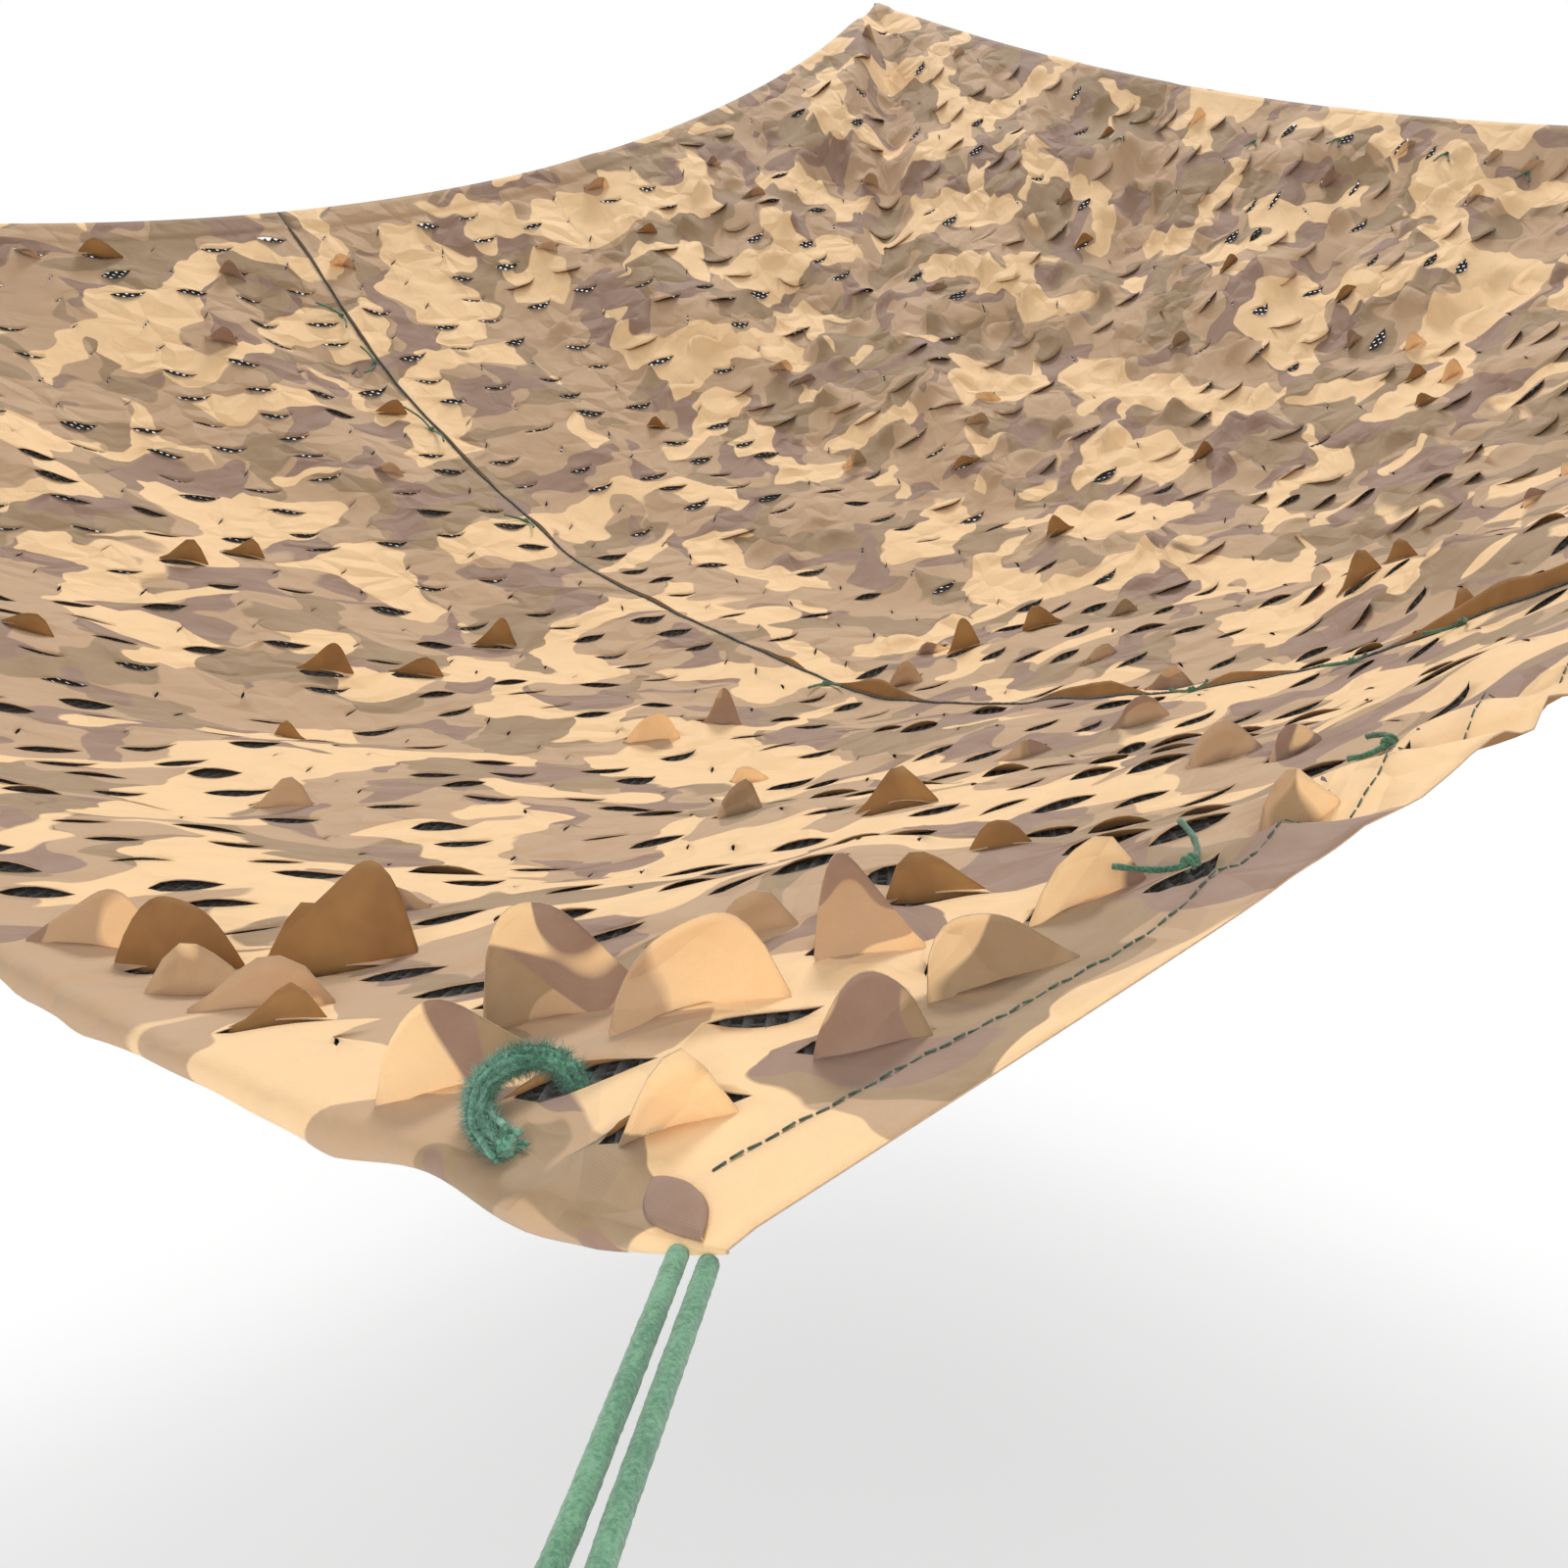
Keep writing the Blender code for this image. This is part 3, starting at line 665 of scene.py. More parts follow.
        past_x, past_y = (np.clip((at - self.hem) / self.calm_width, 0.0, 1.0) for at in (x, y))
        inside = np.where(y > self.hem, self.hem_calm + (1.0 - self.hem_calm) * past_x,
                          0.0) * past_y
        total += near * inside * self.crumple.heights(x, y)
        rim = np.clip(y / self.pleat_crest, 0.0, 1.0) * 0.75 + 0.25
        for pleat in self.pleats:
            fade = bell(y - pleat.crest, pleat.reach) * (rim if pleat.crest > self.wide_pleat else 1.0)
            total += pleat.height * fade * np.exp(-np.abs((x - pleat.x) / pleat.half_width) ** 1.2)
        gather = np.sin(math.tau * x / self.pucker_length + 2.1 * np.sin(x * 31.0))
        along = np.clip((x - self.hem) / 0.05, 0.0, 1.0)
        total += self.pucker * along * gather * bell(y - self.stitch_line, 0.016)
        return total

    def places(self, flat: np.ndarray) -> np.ndarray:
        """Return the hung places of flat places.

        Args:
            flat: A row of x, y and lift for each place.

        Returns:
            A row of three numbers for each place.
        """
        x, y, lift = flat[:, 0], flat[:, 1], flat[:, 2]
        at = np.maximum(x, self.hem)
        taken_up = self.hem - self.roll_radius
        u = (at - taken_up) / (self.side - taken_up)
        v = y / self.side
        slope_x = self.sheet(u + self.step, v) - self.sheet(u - self.step, v)
        slope_y = self.sheet(u, v + self.step) - self.sheet(u, v - self.step)
        normal = np.cross(slope_x, slope_y)
        normal /= np.linalg.norm(normal, axis=1)[:, None]
        place = self.sheet(u, v) + normal * self.unevenness(at, y)[:, None]
        turn = np.maximum(self.hem - x, 0.0) / self.roll_radius
        outward = -slope_x / np.linalg.norm(slope_x, axis=1)[:, None]
        rim = outward * np.sin(turn)[:, None] + normal * np.cos(turn)[:, None]
        share = np.minimum(1.0, np.maximum(y, 0.0) / self.roll_ease)
        grown = self.roll_at_end + (1.0 - self.roll_at_end) * np.sin(share * math.pi / 2)
        creased = self.roll_crease - np.abs(self.roll_lumps.heights(x * self.roll_squeeze, y))
        lumps = 1.0 + self.roll_unevenness * creased * share
        radius = self.roll_radius * grown * np.where(x < self.hem, lumps, 1.0)
        rolled = place - normal * radius[:, None] + rim * (radius + lift)[:, None]
        return np.where((x < self.hem)[:, None], rolled, place + normal * lift[:, None])

    def place(self, x: float, y: float, lift: float = 0.0) -> Vector:
        """Return one hung place."""
        return Vector(self.places(np.array([[x, y, lift]], float))[0])


DRAPE = Drape()


# The cuts


class CutKind(Enum):
    """What a cell's cut looks like."""

    OPEN = "open"
    SMILE = "smile"
    TICK = "tick"


@dataclass(frozen=True)
class Leaf:
    """A leaf that stands up from its cut, hinged at the far side, 1, or near side, -1.

    Its width is a share of the cut's, its peak stands to the right or, with a
    minus, to the left, its sides are steeper the larger its roundness is, and
    its lean bends the tip over towards the hinge.
    """

    x: float
    y: float
    height: float
    hinge: int
    width: float = 1.0
    peak: float = 0.0
    roundness: float = 1.1
    lean: float = 0.0


@dataclass(frozen=True)
class Cut:
    """One cut through the cloth, and how its two lips stand."""

    kind: CutKind
    half_length: float
    opening: float
    turn: float
    bend: float
    shift: tuple[float, float]
    far_lift: float
    near_lift: float
    leaf: Leaf | None = None

    @property
    def reach(self) -> int:
        """Return how many grid steps the cut runs each way from its middle."""
        return 2 if self.kind is CutKind.TICK else 3


@dataclass
class CutPlan:
    """Says which cut each cell of the cloth has."""

    length: float = 0.058
    opening: float = 0.026
    turn: float = math.radians(-30.0)
    play: float = 0.016
    open_shift: float = -0.010
    seed: int = 5
    rim_stand: float = 0.20
    stand: float = 0.030
    ruffled_stand: float = 0.030
    wall_share: float = 0.75
    wide_from: float = 0.4
    near_ticks: float = 0.30
    far_ticks: float = 0.48
    tick_turn: float = math.radians(48.0)
    near_reach: float = 1.25
    least_gape: float = 0.16
    wall_from: float = 1.30
    wall_width: float = 0.7
    least_ruffle: float = 0.30
    rim_ruffle: float = 0.8
    leaves: tuple[Leaf, ...] = (
        Leaf(0.149, 0.512, 0.053, 1, 1.48, 0.40, 2.00, 0.10),
        Leaf(0.088, 0.225, 0.036, -1, 1.25, -0.35, 1.50, -0.10),
        Leaf(0.106, 0.572, 0.041, 1, 1.20, -0.15, 1.30, 0.05),
        Leaf(0.093, 0.665, 0.034, -1, 1.25, 0.30, 1.20, 0.0),
        Leaf(0.188, 0.580, 0.026, 1, 0.90, -0.30, 0.90, 0.0),
        Leaf(0.106, 0.462, 0.027, -1, 1.25, 0.30, 1.20, -0.05),
        Leaf(0.085, 0.400, 0.018, 1, 0.80, 0.35, 0.90, 0.0),
        Leaf(0.160, 0.275, 0.058, -1, 1.34, -0.42, 1.60, -0.10),
        Leaf(0.185, 0.175, 0.041, -1, 1.36, 0.25, 1.75, 0.05),
        Leaf(0.285, 0.190, 0.046, -1, 0.90, -0.20, 1.05, 0.0),
        Leaf(0.270, 0.105, 0.034, -1, 1.15, -0.35, 1.35, 0.0),
        Leaf(0.183, 0.080, 0.032, -1, 0.80, 0.20, 1.60, 0.15),
        Leaf(0.375, 0.135, 0.030, -1, 1.05, 0.30, 1.30, 0.05),
        Leaf(0.360, 0.215, 0.024, 1, 0.90, -0.25, 1.00, 0.0),
        Leaf(0.262, 0.262, 0.024, -1, 1.00, 0.35, 1.10, 0.0),
        Leaf(0.098, 0.092, 0.030, -1, 0.75, 0.15, 0.85, 0.0),
        Leaf(0.105, 0.162, 0.000, 1),
        Leaf(0.405, 1.108, 0.028, -1, 0.9, 0.3, 0.8),
        Leaf(0.617, 2.034, 0.030, 1, 1.0, 0.3, 0.9),
        Leaf(0.740, 2.078, 0.024, 1, 0.9, 0.4, 0.9),
        Leaf(0.680, 1.668, 0.032, 1, 1.1, 0.3, 1.0),
        Leaf(0.783, 1.639, 0.024, 1, 1.1, 0.4, 0.9),
        Leaf(0.930, 1.731, 0.034, 1, 1.0, 0.3, 0.8),
        Leaf(0.890, 1.261, 0.034, -1, 1.1, 0.2, 0.9),
        Leaf(0.990, 1.273, 0.042, -1, 0.8, 0.3, 0.8),
        Leaf(1.347, 1.240, 0.040, 1, 0.8, 0.2, 0.8),
        Leaf(1.457, 1.208, 0.030, 1, 1.0, -0.3, 0.9),
        Leaf(1.508, 0.703, 0.034, 1, 1.1, 0.4, 0.9),
    )

    def __post_init__(self) -> None:
        """Start the plan's own dice."""
        self.dice = np.random.RandomState(self.seed)

    def gape(self, x: float, y: float) -> float:
        """Return the share of the widest opening that cuts have about a flat place."""
        near = math.exp(-((x / self.near_reach) ** 2 + (y / self.near_reach) ** 2))
        return self.least_gape + (1.0 - self.least_gape) * near

    def leaf_at(self, x: float, y: float, half_x: float, half_y: float) -> Leaf | None:
        """Return the listed leaf that stands in a cell, if one does."""
        found = [leaf for leaf in self.leaves
                 if abs(leaf.x - x) < half_x and abs(leaf.y - y) < half_y]
        return found[-1] if found else None

    def cut(self, i: int, j: int, x: float, y: float, half_x: float, half_y: float) -> Cut:
        """Return a cell's cut.

        Args:
            i: The cell's column in its panel.
            j: The cell's row.
            x: The cell's middle along the right hem.
            y: The cell's middle along the left hem.
            half_x: Half of the cell's width.
            half_y: Half of the cell's length.

        Returns:
            The cut.
        """
        a, b, c, d, e, f = self.dice.rand(6)
        leaf = self.leaf_at(x, y, half_x, half_y)
        if leaf:
            shift = (max(-self.play, min(self.play, leaf.x - x)),
                     max(-self.play, min(self.play, leaf.y - y)))
            opening = self.opening * (0.85 if leaf.height > 0.0 else 1.25)
            return Cut(CutKind.OPEN, self.length / 2, opening, self.turn, 0.0, shift,
                       0.002, 0.002, leaf)
        shift = ((a - 0.5) * 0.012, (b - 0.5) * 0.014)
        turn = self.turn + (c - 0.5) * 0.5
        gape = self.gape(x, y)
        bend = (0.004 + 0.009 * d) if gape > 0.5 else (0.012 + 0.012 * d)
        ruffled = self.ruffle(x, y)
        at_rim = x < 0.14 and y > 1.4 or y > 2.86 or x > 2.86
        stands = self.dice.rand() < (self.rim_stand if at_rim
                                     else self.stand + self.ruffled_stand * ruffled)
        grown = None
        if stands:
            grown = Leaf(x, y, 0.013 + 0.018 * e, 1 if d < 0.35 else -1, 0.75 + 0.4 * a,
                         1.0 * (b - 0.5), 0.8 + 0.4 * c, 0.5 * (f - 0.5))
        wall = self.wall(x, y)
        if self.dice.rand() < self.wall_share * wall and not stands:
            turn += (a - 0.5) * 0.7
            if e < 0.6:
                return Cut(CutKind.SMILE, 0.030 + 0.006 * b, -0.004 - 0.008 * f, turn, bend, shift,
                           -0.001 - 0.004 * d, 0.007 + 0.014 * a)
            return Cut(CutKind.SMILE, 0.028 + 0.006 * b, -0.010 - 0.010 * f, turn, bend, shift,
                       0.005 + 0.007 * a, -0.002 * d)
        wide = gape > self.wide_from
        if j % 3 == 2 and (i + j // 3) % 2 == 0 and (wide or stands or c > 0.8):
            opening = self.opening * gape * (0.65 + 0.35 * e)
            return Cut(CutKind.OPEN, self.length / 2 * (0.85 + 0.2 * f), opening, turn, bend,
                       (shift[0] * 0.6, shift[1] * 0.4 + self.open_shift), 0.001 + 0.005 * a,
                       0.001 * b - 0.002 * ruffled, grown)
        if f < (self.near_ticks if wide else self.far_ticks) and not stands:
            return Cut(CutKind.TICK, 0.009 + 0.006 * a, 0.0022 + 0.003 * e * gape,
                       self.tick_turn + (c - 0.5) * 0.6, 0.001, shift, 0.002 * e, 0.003 * d)
        opening = 0.0012 + 0.003 * gape + 0.010 * e * e * gape + 0.006 * wall * a
        lift = 0.001 + 0.005 * a * a + 0.005 * ruffled * a
        return Cut(CutKind.SMILE, 0.021 + 0.006 * b, opening, turn, bend, shift,
                   lift, 0.001 - 0.004 * d, grown)

    def ruffle(self, x: float, y: float) -> float:
        """Return how ruffled the cloth's leaves are about a flat place, up to 1."""
        rim = self.rim_ruffle if y > 2.7 or (x < 0.25 and y > 1.6) else 0.0
        return max(self.wall(x, y), rim, self.least_ruffle)

    def wall(self, x: float, y: float) -> float:
        """Return how far a flat place lies up the steep far right side, from 0 to 1."""
        up = max(0.0, min(1.0, (x - self.wall_from) / self.wall_width))
        return up * (1.0 - 0.35 * max(0.0, y - 2.0))


# Meshes


@dataclass
class SheetMesh:
    """Flat places, their print places and the faces of a sheet in the making."""

    flat: np.ndarray
    printed: np.ndarray
    faces: list[list[int]] = field(default_factory=list)

    def add(self, places: list[Point], prints: list[tuple[float, float]]) -> list[int]:
        """Add places.

        Args:
            places: The flat places.
            prints: Where each lies in the print.

        Returns:
            Their numbers.
        """
        first = len(self.flat)
        self.flat = np.vstack([self.flat, np.array(places, float)])
        self.printed = np.vstack([self.printed, np.array(prints, float)])
        return list(range(first, len(self.flat)))


def mesh_object(name: str, places: np.ndarray, faces: list[list[int]],
                printed: np.ndarray | None = None) -> bpy.types.Object:
    """Return a mesh object at the origin.

    Args:
        name: The piece's name.
        places: A row of three numbers for each point.
        faces: The points of each face.
        printed: Each point's place in the print, if it has one.

    Returns:
        The object, linked to the scene.
    """
    mesh = bpy.data.meshes.new(name)
    mesh.from_pydata(places.tolist(), [], faces)
    if printed is not None:
        layer = mesh.uv_layers.new(name=FLAT_MAP)
        corners = np.zeros(len(mesh.loops), np.int32)
        mesh.loops.foreach_get("vertex_index", corners)
        layer.data.foreach_set("uv", printed[corners].astype(np.float32).ravel())
    mesh.polygons.foreach_set("use_smooth", np.ones(len(mesh.polygons), bool))
    mesh.update()
    made = bpy.data.objects.new(name, mesh)
    bpy.context.scene.collection.objects.link(made)
    return made


def grid_faces(columns: int, rows: int) -> list[list[int]]:
    """Return the faces of a grid of points, numbered up one column after another.

    Args:
        columns: How many columns of points it has.
        rows: How many points each column has.

    Returns:
        The four points of each face.
    """
    return [[i * rows + j, (i + 1) * rows + j, (i + 1) * rows + j + 1, i * rows + j + 1]
            for i in range(columns - 1) for j in range(rows - 1)]


def thicken(piece: bpy.types.Object, thickness: float) -> None:
    """Give a sheet its thickness below, with a back and an edge of their own.

    Args:
        piece: The sheet, whose materials are face, back and edge.
        thickness: The cloth's thickness.
    """
    sheet = piece.modifiers.new("Cloth thickness", "SOLIDIFY")
    sheet.thickness = thickness
    sheet.offset = -1.0
    sheet.material_offset = 1
    sheet.material_offset_rim = 2


def pick(*pieces: bpy.types.Object) -> None:
    """Make pieces the only ones selected, with the first one active."""
    bpy.ops.object.select_all(action="DESELECT")
    for piece in pieces:
        piece.select_set(True)
    bpy.context.view_layer.objects.active = pieces[0]


def settle(piece: bpy.types.Object, *materials: bpy.types.Material) -> bpy.types.Object:
    """Apply a piece's modifiers, give it its materials and let it ride on the body.

    Args:
        piece: The piece.
        materials: Its materials, in the order of its slots.

    Returns:
        The piece.
    """
    for material in materials:
        piece.data.materials.append(material)
    pick(piece)
    for modifier in list(piece.modifiers):
        bpy.ops.object.modifier_apply(modifier=modifier.name)
    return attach(piece, BODY)


@dataclass
class ClothPanel:
    """One width of the cloth: its hems, its cuts and the leaves that stand up."""

    name: str
    start: float
    end: float
    cells: int
    plan: CutPlan
    rows: int = 45
    steps: int = 8
    row_steps: int = 6
    thickness: float = 0.0007
    hem_steps: int = 4
    roll_steps: int = 14
    doubled: float = 0.0013
    hem_edge: float = 0.002
    hem_slack: float = 0.0015
    roll_gap: float = 0.004
    lip_margin: float = 0.0015
    leaf_root: float = 0.0025
    fine_grid: tuple[int, int] = (17, 9)
    coarse_grid: tuple[int, int] = (7, 3)
    fine_height: float = 0.0312
    fine_to: float = 1.5

    def lead_in(self, y: np.ndarray) -> tuple[list[np.ndarray], list[np.ndarray]]:
        """Return the columns before the first cell: the rolled hem.

        Args:
            y: The rows' places.

        Returns:
            The columns' flat places and their print places.
        """
        columns = []
        for x in np.linspace(0.0, self.start, self.roll_steps + 1)[:-1]:
            columns.append(np.column_stack([np.full_like(y, x), y, np.zeros_like(y)]))
        return columns, [column[:, :2].copy() for column in columns]

    def lead_out(self) -> list[float]:
        """Return the columns' places after the last cell: none at a seam."""
        return []

    def hem_rows(self) -> list[float]:
        """Return the rows' places across the near flat hem."""
        return list(np.linspace(0.0, DRAPE.hem - self.hem_edge, self.hem_steps + 1))

    def build(self) -> bpy.types.Object:
        """Build the panel's mesh.

        Returns:
            The panel, a sheet with its true thickness.
        """
        inner = np.linspace(DRAPE.hem, DRAPE.side - DRAPE.hem, self.rows * self.row_steps + 1)
        near_hem = self.hem_rows()
        far_hem = [DRAPE.side - y for y in reversed(near_hem)]
        y = np.array(near_hem + list(inner) + far_hem)
        columns, prints = self.lead_in(y)
        first = len(columns)
        after = list(np.linspace(self.start, self.end, self.cells * self.steps + 1))
        for x in after + self.lead_out():
            columns.append(np.column_stack([np.full_like(y, x), y, self.hem_lift(x, y)]))
            prints.append(columns[-1][:, :2].copy())
        made = SheetMesh(np.vstack(columns), np.vstack(prints))
        count = len(y)
        made.faces = grid_faces(len(columns), count)
        for i in range(self.cells):
            for j in range(self.rows):
                self.cut_cell(made, i, j, first, len(near_hem), count)
        piece = mesh_object(self.name + "_cloth", DRAPE.places(made.flat), made.faces,
                            made.printed)
        thicken(piece, self.thickness)
        return piece

    def hem_lift(self, x: float, y: np.ndarray) -> np.ndarray:
        """Return the lift of a column, raised where the hem is doubled.

        Args:
            x: The column's place.
            y: The rows' places.

        Returns:
            The lift of each row.
        """
        edge = np.minimum(y, DRAPE.side - y)
        raised = self.doubled if x > DRAPE.hem + self.roll_gap else 0.0
        return np.where(edge < DRAPE.hem - self.hem_slack, raised, 0.0)

    def cut_cell(self, made: SheetMesh, i: int, j: int, first: int, below: int,
                 count: int) -> None:
        """Cut one cell's slit, open its lips and stand up its leaf.

        Args:
            made: The sheet in the making.
            i: The cell's column.
            j: The cell's row.
            first: The grid column at which the cells start.
            below: The grid row at which the cells start.
            count: How many rows the grid has.
        """
        n, m = self.steps, self.row_steps
        column, row = first + i * n, below + j * m
        numbers = np.array([[(column + a) * count + row + b for b in range(m + 1)]
                            for a in range(n + 1)])
        low, high = made.flat[numbers[0, 0], :2], made.flat[numbers[n, m], :2]
        middle, half = (low + high) / 2, (high - low) / 2
        cut = self.plan.cut(i, j, middle[0], middle[1], half[0], half[1])
        shape = CutShape(cut, half)
        p = (np.arange(n + 1) - n / 2) / (n / 2)
        q = (np.arange(m + 1) - m / 2) / (m / 2)
        for a in range(1, n):
            for b in range(1, m):
                side = -1 if b < m // 2 else 1
                place = middle + shape.offset(p[a], q[b], side)
                made.flat[numbers[a, b]] = (place[0], place[1], shape.lift(p[a], q[b], side))
        inside = range(n // 2 - cut.reach + 1, n // 2 + cut.reach)
        places = [middle + shape.offset(p[a], 0.0, -1) for a in inside]
        lifts = [shape.lift(p[a], 0.0, -1) for a in inside]
        prints = [tuple(made.printed[numbers[a, m // 2]]) for a in inside]
        added = made.add([(spot[0], spot[1], h) for spot, h in zip(places, lifts)], prints)
        lips = {int(numbers[a, m // 2]): number for a, number in zip(inside, added)}
        for a in range(n // 2 - cut.reach, n // 2 + cut.reach):
            face = made.faces[(column + a) * (count - 1) + row + m // 2 - 1]
            face[:] = [lips.get(v, v) for v in face]
        if cut.leaf is not None and cut.leaf.height > 0.0:
            self.stand_leaf(made, cut, shape, middle)

    def stand_leaf(self, made: SheetMesh, cut: Cut, shape: "CutShape",
                   middle: np.ndarray) -> None:
        """Stand a leaf up from a cut's lip.

        Args:
            made: The sheet in the making.
            cut: The cut.
            shape: The cut's shape.
            middle: The cell's middle.
        """
        leaf = cut.leaf
        fine = leaf.height > self.fine_height and leaf.x < self.fine_to
        columns, rows = self.fine_grid if fine else self.coarse_grid
        centre = middle + np.array(cut.shift)
        phase = 37.0 * centre[0] + 23.0 * centre[1]
        lip = cut.opening / 2 + self.lip_margin
        half = cut.half_length * leaf.width
        numbers = []
        for k in range(rows + 1):
            share = k / rows
            places, prints = [], []
            for a in range(columns):
                s = -1.0 + 2.0 * a / (columns - 1)
                skewed = s - leaf.peak * (1.0 - s * s)
                crown = max(0.0, 1.0 - skewed * skewed) ** (1.0 / leaf.roundness)
                crown *= 1.0 + 0.06 * math.sin(4.0 * s + phase)
                rise = leaf.height * share * max(crown, 0.05)
                up = rise / leaf.height
                cup = 0.20 * s * s - 0.28 * up + (0.42 + leaf.lean) * up * up
                wave = 0.05 * math.sin(3.0 * s + 2.0 * up + phase)
                spot = centre + shape.along * (half * s * (1.0 - 0.06 * up))
                spot = spot + shape.across * (leaf.hinge * (lip * (1.0 - 0.55 * s * s)
                                                            + (cup + wave) * leaf.height))
                places.append((spot[0], spot[1], rise - self.leaf_root * (1.0 - share)))
                down = centre + shape.along * (half * s) - shape.across * (leaf.hinge * rise)
                prints.append((down[0], down[1]))
            numbers.append(made.add(places, prints))
        for below, above in zip(numbers, numbers[1:]):
            for one in range(columns - 1):
                quad = [below[one], below[one + 1], above[one + 1], above[one]]
                made.faces.append(quad[::-1] if leaf.hinge > 0 else quad)


@dataclass
class CutShape:
    """Works out where a cut moves the cloth of its cell."""

    cut: Cut
    half: np.ndarray

    def __post_init__(self) -> None:
        """Work out the directions along and across the cut."""
        turn = self.cut.turn
        self.along = np.array([math.cos(turn), math.sin(turn)])
        self.across = np.array([-math.sin(turn), math.cos(turn)])
        self.end = self.cut.reach / 4.0

    def line(self, p: float) -> np.ndarray:
        """Return where the cut's own line passes.

        Args:
            p: The share of the cell's half width.

        Returns:
            The place from the cell's middle.
        """
        s = p / self.end
        curl = max(0.0, (s + 0.3) / 1.3) ** 3
        return (np.array(self.cut.shift) + self.along * (self.cut.half_length * s)
                + self.across * (self.cut.bend * curl))

    def offset(self, p: float, q: float, side: int) -> np.ndarray:
        """Return a grid point's new place.

        Args:
            p: Its share of the cell's half width.
            q: Its share of the cell's half length.
            side: 1 for the far lip and -1 for the near one, on the cut itself.

        Returns:
            The place from the cell's middle.
        """
        held = max(-self.end, min(self.end, p))
        fade = 1.0 if abs(p) <= self.end else (1.0 - abs(p)) / (1.0 - self.end)
        pull = fade * (1.0 - abs(q))
        plain = np.array([p, q]) * self.half
        moved = self.line(held) - np.array([held, 0.0]) * self.half
        return plain + moved * pull + self.across * (side * self.gap(p) * (1.0 - abs(q)))

    def gap(self, p: float) -> float:
        """Return how far a lip stands from the cut's line."""
        s = min(1.0, abs(p) / self.end)
        blunt = 1.0 + 0.30 * (-p / self.end)
        return self.cut.opening / 2 * (1.0 - s ** (1.8 if p > 0.0 else 4.0)) * max(0.0, blunt)

    def lift(self, p: float, q: float, side: int) -> float:
        """Return how far a grid point is lifted.

        Args:
            p: Its share of the cell's half width.
            q: Its share of the cell's half length.
            side: 1 for the far lip and -1 for the near one, on the cut itself.

        Returns:
            The lift in metres.
        """
        s = min(1.0, abs(p) / self.end)
        far = q > 0.0 or (q == 0.0 and side > 0)
        height = self.cut.far_lift if far else self.cut.near_lift
        return height * (1.0 - s * s) * (1.0 - abs(q)) ** 1.25


@dataclass
class SeamedPanel(ClothPanel):
    """The far width, whose edge is turned up and curls along the seam."""

    lean: float = 0.55
    curl_steps: int = 5
    rises: tuple[tuple[float, float], ...] = (
        (0.00, 0.006),
        (0.33, 0.018),
        (0.60, 0.010),
        (0.80, 0.015),
        (1.25, 0.015),
        (1.38, 0.014),
        (1.45, 0.003),
        (3.00, 0.002),
    )

    def lead_in(self, y: np.ndarray) -> tuple[list[np.ndarray], list[np.ndarray]]:
        """Return the columns before the first cell: the edge turned up at the seam.

        Args:
            y: The rows' places.

        Returns:
            The columns' flat places and their print places.
        """
        spots, heights = zip(*self.rises)
        wave = np.sin(math.tau * y / 0.17) * 0.5 + np.sin(math.tau * y / 0.083 + 1.0) * 0.3
        patchy = 0.45 + 0.60 * np.sin(math.tau * y / 0.29 + 0.8 + 1.3 * np.sin(y * 9.0))
        rise = np.interp(y, spots, heights) * np.clip(patchy, 0.10, 1.0) ** 1.4
        columns, prints = [], []
        for k in range(self.curl_steps, 0, -1):
            share = k / self.curl_steps
            lift = rise * share * (1.0 + 0.18 * wave * share)
            x = self.start + rise * (self.lean + 0.30 * wave) * share ** 1.5
            columns.append(np.column_stack([x, y, lift]))
            prints.append(np.column_stack([self.start - rise * share, y]))
        return columns, prints

    def lead_out(self) -> list[float]:
        """Return the columns' places across the far hem."""
        return list(np.linspace(self.end + self.hem_edge, DRAPE.side, self.hem_steps + 1))


# Cords


@dataclass
class Route:
    """A smooth line through a few places."""

    through: list[Vector]
    spacing: float
    fineness: int = 12

    def points(self) -> list[Vector]:
        """Return places about a spacing apart along the line.

        Returns:
            The places, ends included.
        """
        p = self.through
        padded = [p[0] * 2 - p[1]] + list(p) + [p[-1] * 2 - p[-2]]
        fine = []
        for a, b, c, d in zip(padded, padded[1:], padded[2:], padded[3:]):
            for i in range(self.fineness):
                t = i / self.fineness
                fine.append(0.5 * (2 * b + (c - a) * t + (2 * a - 5 * b + 4 * c - d) * t * t
                                   + (3 * b - a - 3 * c + d) * t ** 3))
        fine.append(p[-1].copy())
        lengths = [0.0]
        for one, two in zip(fine, fine[1:]):
            lengths.append(lengths[-1] + (two - one).length)
        count = max(4, round(lengths[-1] / self.spacing))
        goals = [lengths[-1] * k / count for k in range(count + 1)]
        line = np.array([tuple(q) for q in fine])
        return [Vector([float(np.interp(goal, lengths, line[:, k])) for k in range(3)])
                for goal in goals]


def length_of(points: list[Vector]) -> float:
    """Return the length of a line of points."""
    return sum((b - a).length for a, b in zip(points, points[1:]))


